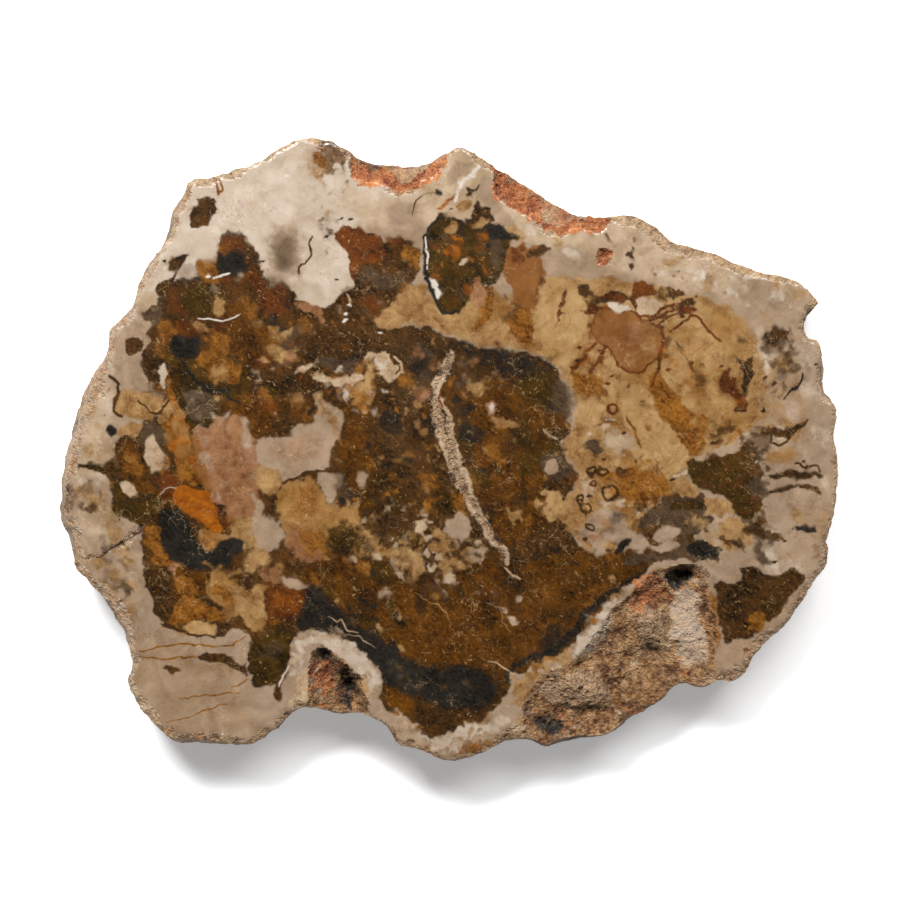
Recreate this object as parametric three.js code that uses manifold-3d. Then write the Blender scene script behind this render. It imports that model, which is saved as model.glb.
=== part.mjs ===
// A slice of petrified wood: a slab sawn across a fossil log, lying on its flat sawn underside.
// The upper face is ground flat and polished. The edge is the log's rough skin, and one shoulder
// has broken away. Millimetres, +Z up, origin at the middle of the footprint on the surface.
import * as THREE from 'three';
import Module from 'manifold-3d';

// Driving dimensions
const THICKNESS = 34;
const WIDEST_HEIGHT = 19; // height at which the log's skin stands out furthest
const FOOT_INSET = 2.6; // how far the underside draws in from the widest outline
const FACE_INSET = 0.8; // how far the polished face draws in where the skin is sound
const OUTLINE_STATIONS = 330;
const OUTLINE_ROUGHNESS = 0.45;
const RIB_DEPTH = 2.1; // upright ribs of the wood grain on the skin
const LEDGE_DEPTH = 1.7; // level steps left by growth and weathering
const SKIN_LEVELS = [0, 2.2, 8, 14, 19.5, 25, 30.5, THICKNESS];
const CUTTER_HEADROOM = 6; // cutting shapes reach this far above the polished face
const OUTLINE_MIDDLE = [0.4, -0.33]; // middle of the outline's box, moved to the origin
const SEED = 4177;

// Widest outline of the slab seen from above, anticlockwise from the top
const OUTLINE = [
  [-54.8, 135.4], [-65.4, 134.7], [-75, 130.3], [-84.2, 124.1], [-91, 122.9], [-100, 120],
  [-104.7, 118.3], [-111.5, 117.6], [-115.8, 111.7], [-121.1, 103.3], [-123, 95], [-126.7, 87.5],
  [-132.6, 78.5], [-136, 67.3], [-138.5, 60.5], [-146.9, 52.1], [-149.4, 41.1], [-155.6, 33],
  [-159.9, 23.7], [-163.4, 13.8], [-165.8, 3.2], [-168.5, -7.3], [-169.9, -19], [-169.1, -30.9],
  [-165.4, -42.1], [-162.3, -51.9], [-155.6, -59.4], [-149.7, -68.1], [-145.7, -74.2],
  [-141.3, -81.4], [-138, -94.8], [-138.9, -101], [-134.2, -113.4], [-127.9, -119.9],
  [-121.4, -127.2], [-107.1, -129.1], [-85.8, -129.7], [-77.2, -124.9], [-62.9, -113.4],
  [-48.6, -116.3], [-34.9, -116.2], [-26.9, -120.8], [-21.3, -128.4], [-10.7, -131.7],
  [0.1, -136.3], [12.5, -134.3], [25.7, -128.7], [35.1, -127.5], [43.1, -131.5], [55.6, -127.7],
  [71.7, -124.9], [83.8, -115.6], [93.4, -110.9], [102.2, -103.2], [111.5, -104.8],
  [118.8, -101.3], [124.4, -101.6], [130, -97.6], [135, -88.6], [143, -81.4], [148.6, -76.1],
  [154.5, -67.1], [160.7, -57.5], [165.8, -50.3], [166.3, -40.9], [169.8, -23.5], [170.2, -6.7],
  [168.8, 4.5], [169.4, 10.8], [169.8, 20.6], [165.6, 25.6], [165.4, 33.7], [161.7, 47.1],
  [157.2, 50.4], [158, 57.1], [162.6, 62.4], [157.3, 69.2], [152, 73.6], [137.8, 77.3],
  [120.4, 83.8], [107.3, 88.1], [98.6, 90.3], [89.2, 97.8], [77.3, 102.3], [63, 101.2],
  [50, 105.5], [36.3, 114.8], [23, 122.6], [14.6, 127.2], [6, 131.6], [-2, 129.1], [-9.5, 124.8],
  [-23.1, 124], [-34.9, 125.6], [-45.5, 132],
];

// Stretches where the skin is weathered back, so the polished face starts further in
const WORN_EDGES = [
  { at: [-151, 37], reach: 16, width: 2.4 },
  { at: [-161, 17], reach: 26, width: 4 },
  { at: [-169, -12], reach: 26, width: 3.6 },
  { at: [-167, -36], reach: 20, width: 4 },
  { at: [-120, 99], reach: 18, width: 3 },
  { at: [-130, 82], reach: 12, width: 2.4 },
  { at: [-144, -77], reach: 19, width: 2.8 },
  { at: [-106, -129], reach: 26, width: 2.2 },
  { at: [40, -130], reach: 26, width: 2 },
  { at: [166, 29], reach: 14, width: 3 },
  { at: [157.5, 53], reach: 8, width: 2 },
];

// Rough hollows in the polished face. Each has the line where the polish ends, in order around it,
// running out past the edge where the hollow is open, and the steepness of its wall.
const BROKEN_SHOULDER = {
  rim: [
    [31, -142], [32.5, -126], [32, -119], [33.5, -112], [36.5, -103.5], [42, -97], [50, -94.5],
    [56, -90], [61, -84.5], [66.5, -77], [70, -70], [78, -64.5], [85, -57.5], [91, -52.5],
    [100, -50], [109, -50], [114, -53], [113, -60], [114, -69], [117, -76], [117, -84],
    [115, -91], [115.5, -97], [117.5, -101], [121, -112], [80, -135],
  ],
  cell: 4,
  steepness: 1.1,
  depthAt: (x, y, inside) => 2.2 + 0.23 * inside + 1.8 * roughness(x / 17, y / 9, 3)
    + 1.1 * roughness(x / 8, y / 5, 4),
};
const POCKET = {
  rim: [
    [-60.5, -125], [-60, -112], [-59.5, -104], [-60, -97], [-59, -90], [-56.5, -85.5],
    [-51, -87], [-46, -92], [-41, -96.5], [-36, -99], [-37.5, -104], [-33.5, -109], [-34, -125],
  ],
  cell: 3.2,
  steepness: 1.7,
  depthAt: (x, y, inside) => 3 + 0.55 * inside + 1.2 * roughness(x / 6, y / 6, 5),
};
const TOP_RECESS = {
  rim: [
    [-43, 140], [-42.5, 121], [-40, 116.5], [-30, 115], [-23, 112.8], [-14, 115], [-5, 118],
    [-1.5, 121.5], [1, 127], [2, 140],
  ],
  cell: 3.2,
  steepness: 1.3,
  depthAt: (x, y, inside) => 2.5 + 0.35 * inside + 0.9 * roughness(x / 7, y / 4, 6),
};
const UPPER_RIGHT_RECESS = {
  rim: [
    [17, 135], [20.5, 121.5], [20, 111], [25, 106], [32, 102], [41, 97], [50, 94.5], [60, 95.5],
    [64, 92.5], [69, 95], [71.5, 101], [72, 110], [40, 130],
  ],
  cell: 3.2,
  steepness: 1.2,
  depthAt: (x, y, inside) => 2.4 + 0.3 * inside + 0.9 * roughness(x / 7, y / 5, 7),
};
const RUST_PIT = {
  rim: [[64.5, 86], [67, 87], [72, 85.5], [71, 81.5], [68.5, 79], [65, 80.5]],
  cell: 1.8,
  steepness: 1.8,
  depthAt: (x, y, inside) => 1.5 + 2 * inside,
};
const HOLES = [
  { rim: [[95, -60], [96.5, -54.5], [101, -51.5], [109, -50.5], [107, -56], [102, -60]], depth: 15 },
  { rim: [[-57.5, -91], [-57, -87.5], [-52.5, -87], [-51, -89.5], [-54, -92]], depth: 11 },
  { rim: [[-48, -111], [-47.5, -102], [-42, -100], [-38.5, -103], [-43, -110]], depth: 14 },
  { rim: [[38, -119], [45, -117.5], [52, -122], [47, -124], [41, -122]], depth: 19 },
];
const HOLE_CELL = 2.6;
const HOLE_STEEPNESS = 3.2;

// Grooves sunk in the polished face: points as [x, y, width], and one depth
const GROOVES = [
  {
    depth: 1.6, // chalky fissure down the middle
    path: [
      [1.6, 42, 0.6], [1.8, 39, 3.2], [-0.7, 34, 3.6], [-4, 29.5, 2.2], [-6.2, 24, 2.2],
      [-4.6, 18, 4.4], [-1.8, 12, 8.6], [-0.6, 6, 7], [1.8, 0, 4.6], [2.8, -7, 4.2],
      [5.6, -14, 4.6], [9, -20.5, 3.8], [13, -26.5, 2.2], [16.2, -32, 3.8], [19.2, -38, 3.6],
      [24.6, -44.5, 2.6], [26.2, -50, 0.6],
    ],
  },
  {
    depth: 2.4, // crack running in from the left edge
    path: [
      [-166, -51, 1.6], [-157, -48, 1.1], [-150, -45.5, 0.9], [-143, -42.4, 1.1],
      [-137.5, -38.8, 3.2], [-133, -35.6, 1.4], [-131, -32.5, 0.5],
    ],
  },
  { depth: 1.4, path: [[-169, -3.2, 1], [-162, -2.8, 0.9], [-158, -2.5, 0.5]] },
  { depth: 1.6, path: [[-142.4, -66.2, 0.8], [-140.5, -65.5, 1.2], [-138.6, -65, 0.6]] },
  { depth: 2.2, path: [[-149, -70.2, 1.8], [-146, -70.6, 1.2], [-144.6, -71, 0.5]] },
  { depth: 2, path: [[-124.4, -124.2, 1.6], [-120.8, -122.6, 1.3], [-117.5, -121.3, 0.6]] },
  { depth: 1.5, path: [[129.5, 49.4, 0.6], [130.6, 48.3, 1.5], [131.7, 45, 0.7]] },
  { depth: 1.4, path: [[132.8, 55.6, 0.6], [134.4, 54.4, 1.5], [136.2, 53.6, 0.6]] },
];

function clamp(value, low, high) {
  return Math.min(Math.max(value, low), high);
}

function smoothStep(value) {
  const t = clamp(value, 0, 1);
  return t * t * (3 - 2 * t);
}

// A fixed random number from 0 to 1 for each whole-numbered place
function scatter(column, row, layer) {
  let bits = Math.imul(column, 374761393) ^ Math.imul(row, 668265263);
  bits ^= Math.imul(layer, 2146121005) ^ SEED;
  bits = Math.imul(bits ^ (bits >>> 13), 1274126177);
  bits = Math.imul(bits ^ (bits >>> 15), 1103515245);
  return ((bits ^ (bits >>> 16)) >>> 0) / 4294967295;
}

// Smooth noise from -1 to 1 with lumps one unit across
function roughness(x, y, layer) {
  const column = Math.floor(x);
  const row = Math.floor(y);
  const across = smoothStep(x - column);
  const along = smoothStep(y - row);
  const lower = scatter(column, row, layer) * (1 - across) + scatter(column + 1, row, layer) * across;
  const upper = scatter(column, row + 1, layer) * (1 - across)
    + scatter(column + 1, row + 1, layer) * across;
  return 2 * (lower * (1 - along) + upper * along) - 1;
}

// Distance from a point to a closed line, more than zero inside it
function distanceInside(x, y, line) {
  let nearest = Infinity;
  let inside = false;
  line.forEach(([x0, y0], index) => {
    const [x1, y1] = line[(index + 1) % line.length];
    const run = (x - x0) * (x1 - x0) + (y - y0) * (y1 - y0);
    const t = clamp(run / ((x1 - x0) ** 2 + (y1 - y0) ** 2), 0, 1);
    nearest = Math.min(nearest, Math.hypot(x - x0 - t * (x1 - x0), y - y0 - t * (y1 - y0)));
    if (y0 > y !== y1 > y && x < x0 + ((y - y0) * (x1 - x0)) / (y1 - y0)) {
      inside = !inside;
    }
  });
  return inside ? nearest : -nearest;
}

// Geometry from points and triangles, turned inside out if its volume comes out negative
function closedGeometry(points, triangles) {
  let volume = 0;
  for (const [a, b, c] of triangles) {
    volume += points[a].dot(new THREE.Vector3().crossVectors(points[b], points[c]));
  }
  const turned = volume > 0 ? triangles : triangles.map(([a, b, c]) => [a, c, b]);
  const geometry = new THREE.BufferGeometry().setFromPoints(points);
  geometry.setIndex(turned.flat());
  return geometry;
}

// Joins a stack of closed rings, each with the same number of points, and caps both ends
function ringStack(rings) {
  const count = rings[0].length;
  const triangles = [];
  for (let level = 0; level + 1 < rings.length; level += 1) {
    for (let i = 0; i < count; i += 1) {
      const here = level * count + i;
      const next = level * count + ((i + 1) % count);
      triangles.push([here, next, next + count], [here, next + count, here + count]);
    }
  }
  const top = (rings.length - 1) * count;
  capOf(rings[0]).forEach(([a, b, c]) => triangles.push([a, c, b]));
  capOf(rings[rings.length - 1]).forEach(([a, b, c]) => triangles.push([top + a, top + b, top + c]));
  return closedGeometry(rings.flat(), triangles);
}

// Triangles that fill one ring, in the plane that it faces most
function capOf(ring) {
  const area = new THREE.Vector3();
  ring.forEach((point, i) => {
    area.add(new THREE.Vector3().crossVectors(point, ring[(i + 1) % ring.length]));
  });
  const upright = Math.abs(area.z) < Math.max(Math.abs(area.x), Math.abs(area.y));
  const sideways = Math.abs(area.x) > Math.abs(area.y);
  const flat = ring.map((point) => {
    if (!upright) return new THREE.Vector2(point.x, point.y);
    return sideways ? new THREE.Vector2(point.y, point.z) : new THREE.Vector2(point.z, point.x);
  });
  const filled = THREE.ShapeUtils.triangulateShape(flat, []);
  const facesBack = THREE.ShapeUtils.area(flat) < 0;
  return facesBack ? filled.map(([a, b, c]) => [a, c, b]) : filled;
}

function wornWidth(point) {
  const widths = WORN_EDGES.map(({ at, reach, width }) => {
    const away = Math.hypot(point.x - at[0], point.y - at[1]);
    return width * smoothStep(1.5 * (1 - away / reach));
  });
  return FACE_INSET + Math.max(...widths);
}

// Points evenly spaced along the outline, each with the direction out of the slab
function outlineStations() {
  const corners = OUTLINE.map(([x, y]) => new THREE.Vector3(x, y, 0));
  const curve = new THREE.CatmullRomCurve3(corners, true, 'centripetal');
  const points = curve.getSpacedPoints(OUTLINE_STATIONS).slice(0, OUTLINE_STATIONS);
  const reachEitherSide = 2;
  return points.map((point, i) => {
    const before = points[(i - reachEitherSide + OUTLINE_STATIONS) % OUTLINE_STATIONS];
    const after = points[(i + reachEitherSide) % OUTLINE_STATIONS];
    const outward = new THREE.Vector3(after.y - before.y, before.x - after.x, 0).normalize();
    return { point, outward, number: i };
  });
}

// How far the skin stands in from the widest outline at one station and height
function skinInset({ point, number }, height) {
  const aboveWidest = clamp((height - WIDEST_HEIGHT) / (THICKNESS - WIDEST_HEIGHT), 0, 1);
  const belowWidest = clamp((WIDEST_HEIGHT - height) / WIDEST_HEIGHT, 0, 1);
  const foot = FOOT_INSET * (1 + 0.8 * roughness(number / 14, 0.5, 1));
  const sheltered = 1 - 0.7 * smoothStep((height - 28) / (THICKNESS - 28));
  const rib = RIB_DEPTH * Math.abs(roughness(number / 2.3, height / 30, 8));
  const ledge = LEDGE_DEPTH * (0.5 + 0.5 * roughness(number / 9, height / 5, 9));
  const wobble = OUTLINE_ROUGHNESS * (roughness(number / 1.4, 0.3, 10) - 0.5);
  return wornWidth(point) * aboveWidest ** 2 + foot * belowWidest ** 2
    + (rib + ledge) * sheltered * smoothStep(Math.abs(height - WIDEST_HEIGHT) / 9 + 0.35) + wobble;
}

function slab() {
  const stations = outlineStations();
  const rings = SKIN_LEVELS.map((height) => stations.map((station) => {
    const inset = skinInset(station, height);
    return station.point.clone().addScaledVector(station.outward, -inset).setZ(height);
  }));
  return ringStack(rings);
}

// A block whose underside is the floor of a hollow, so that cutting it away leaves the hollow
function hollowCutter({ rim, cell, steepness, depthAt }) {
  const xs = rim.map(([x]) => x);
  const ys = rim.map(([, y]) => y);
  const left = Math.min(...xs) - cell;
  const front = Math.min(...ys) - cell;
  const columns = Math.ceil((Math.max(...xs) + cell - left) / cell);
  const rows = Math.ceil((Math.max(...ys) + cell - front) / cell);
  const floor = [];
  const lid = [];
  for (let row = 0; row <= rows; row += 1) {
    for (let column = 0; column <= columns; column += 1) {
      const onBorder = row === 0 || column === 0 || row === rows || column === columns;
      const stray = onBorder ? 0 : 0.5 * cell;
      const x = left + column * cell + stray * (scatter(column, row, 21) - 0.5);
      const y = front + row * cell + stray * (scatter(column, row, 22) - 0.5);
      const inside = distanceInside(x, y, rim);
      const depth = Math.min(inside * steepness, depthAt(x, y, Math.max(inside, 0)));
      const height = THICKNESS - Math.max(depth, -0.5 * CUTTER_HEADROOM);
      floor.push(new THREE.Vector3(x, y, height));
      lid.push(new THREE.Vector3(x, y, THICKNESS + CUTTER_HEADROOM));
    }
  }
  const across = columns + 1;
  const above = floor.length;
  const triangles = [];
  for (let row = 0; row < rows; row += 1) {
    for (let column = 0; column < columns; column += 1) {
      const a = row * across + column;
      const b = a + 1;
      const c = a + across;
      const d = c + 1;
      triangles.push([a, d, b], [a, c, d]);
      triangles.push([above + a, above + b, above + d], [above + a, above + d, above + c]);
    }
  }
  const border = borderOfGrid(rows, across);
  border.forEach((here, i) => {
    const next = border[(i + 1) % border.length];
    triangles.push([here, next, above + next], [here, above + next, above + here]);
  });
  return closedGeometry([...floor, ...lid], triangles);
}

// Point numbers around the edge of a grid, anticlockwise
function borderOfGrid(rows, across) {
  const border = [];
  for (let column = 0; column < across - 1; column += 1) border.push(column);
  for (let row = 0; row < rows; row += 1) border.push(row * across + across - 1);
  for (let column = across - 1; column > 0; column -= 1) border.push(rows * across + column);
  for (let row = rows; row > 0; row -= 1) border.push(row * across);
  return border;
}

// A tapered bar along a line in the polished face, as wide as the groove where it meets the face
function grooveCutter({ path, depth }) {
  const headroom = 0.5 * CUTTER_HEADROOM;
  const rings = path.map(([x, y, width], i) => {
    const [x0, y0] = path[Math.max(i - 1, 0)];
    const [x1, y1] = path[Math.min(i + 1, path.length - 1)];
    const sideways = new THREE.Vector3(y1 - y0, x0 - x1, 0).normalize();
    const halfFloor = 0.18 * width;
    const halfLid = 0.5 * width + ((0.5 * width - halfFloor) * headroom) / depth;
    const corner = (offset, height) => new THREE.Vector3(x, y, THICKNESS + height)
      .addScaledVector(sideways, offset);
    return [
      corner(-halfFloor, -depth), corner(halfFloor, -depth),
      corner(halfLid, headroom), corner(-halfLid, headroom),
    ];
  });
  return ringStack(rings);
}

function holeCutter({ rim, depth }) {
  const depthAt = (x, y, inside) => depth - 1.5 + 0.5 * inside;
  return hollowCutter({ rim, cell: HOLE_CELL, steepness: HOLE_STEEPNESS, depthAt });
}

const wasm = await Module();
wasm.setup();

function solidOf(geometry) {
  const vertProperties = new Float32Array(geometry.getAttribute('position').array);
  const triVerts = new Uint32Array(geometry.getIndex().array);
  return new wasm.Manifold(new wasm.Mesh({ numProp: 3, vertProperties, triVerts }));
}

function geometryOf(solid) {
  const mesh = solid.getMesh();
  const geometry = new THREE.BufferGeometry();
  geometry.setAttribute('position', new THREE.BufferAttribute(mesh.vertProperties, 3));
  geometry.setIndex(new THREE.BufferAttribute(mesh.triVerts, 1));
  return geometry;
}

const cutters = [
  ...[BROKEN_SHOULDER, POCKET, TOP_RECESS, UPPER_RIGHT_RECESS, RUST_PIT].map(hollowCutter),
  ...HOLES.map(holeCutter),
  ...GROOVES.map(grooveCutter),
];
const stone = cutters.reduce((rest, cutter) => rest.subtract(solidOf(cutter)), solidOf(slab()));

const polishedStone = new THREE.MeshStandardMaterial({
  name: 'petrified_wood',
  color: 0x8a6340,
  roughness: 0.3,
  metalness: 0,
});

const slice = new THREE.Mesh(geometryOf(stone), polishedStone);
slice.name = 'petrified_wood_slice';
slice.position.set(-OUTLINE_MIDDLE[0], -OUTLINE_MIDDLE[1], 0);

const part = new THREE.Group();
part.add(slice);

export default part;
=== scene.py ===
"""A slice of petrified wood, dressed as polished and broken stone and set out for the camera.

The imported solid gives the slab's outline, edge and hollows. This script rebuilds its surface finely
around them: a rough weathered edge, a flat polished face with its hollows and grooves, and a sawn
underside. The markings of the wood are drawn as patches, veins and mosaics, in millimetres on the
polished face, and one stone finish colours them.
"""
import itertools
import logging
import math
from dataclasses import dataclass
from enum import Enum

import bpy
import numpy as np
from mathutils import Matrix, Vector, geometry
from mathutils.bvhtree import BVHTree
from mathutils.kdtree import KDTree


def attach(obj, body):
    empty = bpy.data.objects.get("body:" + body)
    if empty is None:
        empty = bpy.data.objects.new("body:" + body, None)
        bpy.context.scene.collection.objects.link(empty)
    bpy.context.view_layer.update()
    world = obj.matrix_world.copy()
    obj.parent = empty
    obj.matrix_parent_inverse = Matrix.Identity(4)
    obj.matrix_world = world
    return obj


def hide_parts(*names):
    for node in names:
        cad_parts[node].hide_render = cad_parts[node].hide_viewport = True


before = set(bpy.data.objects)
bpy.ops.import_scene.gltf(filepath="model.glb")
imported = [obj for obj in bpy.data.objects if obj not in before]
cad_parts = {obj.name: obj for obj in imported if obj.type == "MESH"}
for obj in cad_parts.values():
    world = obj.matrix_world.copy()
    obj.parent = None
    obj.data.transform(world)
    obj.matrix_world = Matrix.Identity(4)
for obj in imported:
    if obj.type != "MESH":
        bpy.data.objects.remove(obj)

log = logging.getLogger("petrified_wood")

NODE = "petrified_wood_slice"
MM = 0.001
DRAWING_MIDDLE = (0.4, -0.33)  # where the slab's middle lies in the drawing's millimetres
SEED = 4177
NOISE_VALUES = 4096  # a power of two
NOISE_STEPS = (73856093, 19349663, 83492791)  # primes that scatter the noise's cells over its values


class Tone(Enum):
    """The kinds of stone that the markings are made of."""

    TAUPE = 0
    CREAM = 1
    ASH = 2
    TAN = 3
    HONEY = 4
    OCHRE = 5
    FLAME = 6
    AMBER = 7
    UMBER = 8
    INK = 9
    OLIVE = 10
    RUST = 11
    SALMON = 12
    ROSE = 13
    SLATE = 14
    CHALK = 15
    PORE = 16
    BARK = 17
    BUFF = 18
    MILK = 19


TONE_SHEETS = len(Tone) // 4  # a colour attribute holds four tones

# The tones by their bare names, for the lists below
(TAUPE, CREAM, ASH, TAN, HONEY, OCHRE, FLAME, AMBER, UMBER, INK, OLIVE, RUST, SALMON, ROSE, SLATE, CHALK,
 PORE, BARK, BUFF, MILK) = Tone


@dataclass(frozen=True)
class Look:
    """How one tone looks: a dark and a light colour, and the noise that mixes them.

    The colours are sRGB from 0 to 255. The three shares are of broad clouds, of mottling a few
    millimetres across and of fine grain.
    """

    dark: tuple[int, int, int]
    light: tuple[int, int, int]
    clouds: float = 0.4
    mottle: float = 0.4
    grain: float = 0.2


LOOKS = {
    TAUPE: Look((142, 116, 90), (184, 157, 130), 0.8, 0.3, 0.15),
    CREAM: Look((184, 162, 138), (218, 200, 180), 0.9, 0.3, 0.15),
    ASH: Look((166, 138, 106), (208, 182, 152), 0.8, 0.35, 0.15),
    TAN: Look((120, 78, 36), (190, 150, 98), 0.7, 0.6, 0.3),
    HONEY: Look((128, 84, 34), (176, 132, 78), 0.8, 0.4, 0.2),
    OCHRE: Look((82, 42, 0), (166, 108, 40), 0.6, 0.7, 0.4),
    FLAME: Look((112, 50, 0), (186, 106, 20), 0.7, 0.5, 0.3),
    AMBER: Look((34, 18, 0), (112, 66, 12), 0.6, 0.6, 0.45),
    UMBER: Look((22, 13, 2), (94, 60, 24), 0.6, 0.6, 0.45),
    INK: Look((6, 6, 6), (50, 44, 36), 0.5, 0.6, 0.4),
    OLIVE: Look((18, 12, 0), (84, 58, 12), 0.7, 0.5, 0.35),
    RUST: Look((54, 24, 2), (128, 68, 22), 0.7, 0.45, 0.3),
    SALMON: Look((114, 64, 22), (152, 102, 54), 0.9, 0.3, 0.1),
    ROSE: Look((116, 72, 40), (172, 124, 86), 0.6, 0.7, 0.3),
    SLATE: Look((44, 33, 24), (102, 78, 54), 0.6, 0.5, 0.3),
    CHALK: Look((142, 106, 68), (218, 192, 158), 0.4, 0.5, 0.4),
    PORE: Look((138, 60, 14), (240, 158, 96), 0.4, 0.6, 0.5),
    BARK: Look((58, 34, 16), (160, 126, 92), 0.3, 0.5, 0.5),
    BUFF: Look((156, 116, 66), (202, 164, 114), 0.8, 0.35, 0.2),
    MILK: Look((200, 184, 166), (240, 230, 218), 0.6, 0.5, 0.4),
}


@dataclass(frozen=True)
class Patch:
    """An area of one tone on the polished face.

    outline is its corners as x,y pairs in the drawing's millimetres. feather is how softly it ends,
    cover how fully it hides what is under it, and broken how far noise eats into it. Clouds above 0
    leaves only scattered clouds of it, about that wide.
    """

    tone: Tone
    outline: str
    feather: float = 0.9
    cover: float = 1.0
    broken: float = 0.0
    clouds: float = 0.0


@dataclass(frozen=True)
class Vein:
    """A line of one tone. path is x,y pairs, as in a patch, and width is in millimetres too."""

    tone: Tone
    path: str
    width: float = 1.0
    cover: float = 1.0


@dataclass(frozen=True)
class Mosaic:
    """Soft blobs of several tones, scattered over an area.

    outline is the area, as in a patch. size is the usual half length of a blob in millimetres, turn
    the usual direction of its length in degrees, and ring how fully a thin dark line rings it.
    """

    tones: tuple[Tone, ...]
    outline: str
    count: int
    size: float
    cover: float
    turn: float = 0.0
    ring: float = 0.0


def dots(tone: Tone, width: float, middles: str) -> list[Vein]:
    """Small specks of one tone, given by their middles."""
    places = [tuple(map(float, pair.split(","))) for pair in middles.split()]
    return [Vein(tone, f"{x - 0.5},{y} {x + 0.5},{y + 0.2}", width) for x, y in places]


def ring(tone: Tone, x: float, y: float, radius: float, width: float) -> Vein:
    """A ring round an eye in the stone, a little flattened and turned by its size.

    Args:
        tone: the ring's stone.
        x, y: its middle in the drawing's millimetres.
        radius: its radius.
        width: how wide its line is.

    Returns:
        The ring.
    """
    turns = [math.radians(45 * step + 20 * radius) for step in range(9)]
    points = [(x + radius * math.cos(turn), y + 0.8 * radius * math.sin(turn)) for turn in turns]
    return Vein(tone, " ".join(f"{right:.2f},{up:.2f}" for right, up in points), width)


def washes(outline: str, *layers: tuple) -> list[Patch]:
    """Patches over one outline. Each layer is a tone and then a patch's further values, in order."""
    return [Patch(tone, outline, *values) for tone, *values in layers]


DARK_TONES = (AMBER, UMBER, OLIVE, RUST)
FIBROUS_TONES = (*DARK_TONES, INK, SLATE, OCHRE)
BANDED_TONES = (OCHRE, HONEY, TAN, FLAME, BUFF)

# Areas that several markings share
HONEY_SIDE = "0,62 38,72 60,74 104,64 132,52 132,14 104,-6 54,-8 56,30 40,42"
TOP_RIND = "6,118 20,100 60,96 120,84 150,72 160,52 128,60 100,72 44,84 4,104"
RIGHT_RIND = "134,56 158,54 166,20 168,-40 140,-64 126,-44 150,-28 138,10"
LEFT_RIND = ("-130,88 -124,66 -140,50 -146,20 -146,-8 -134,-36 -132,-70 -146,-80 -168,-40 -160,30 "
             "-140,70")

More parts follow.
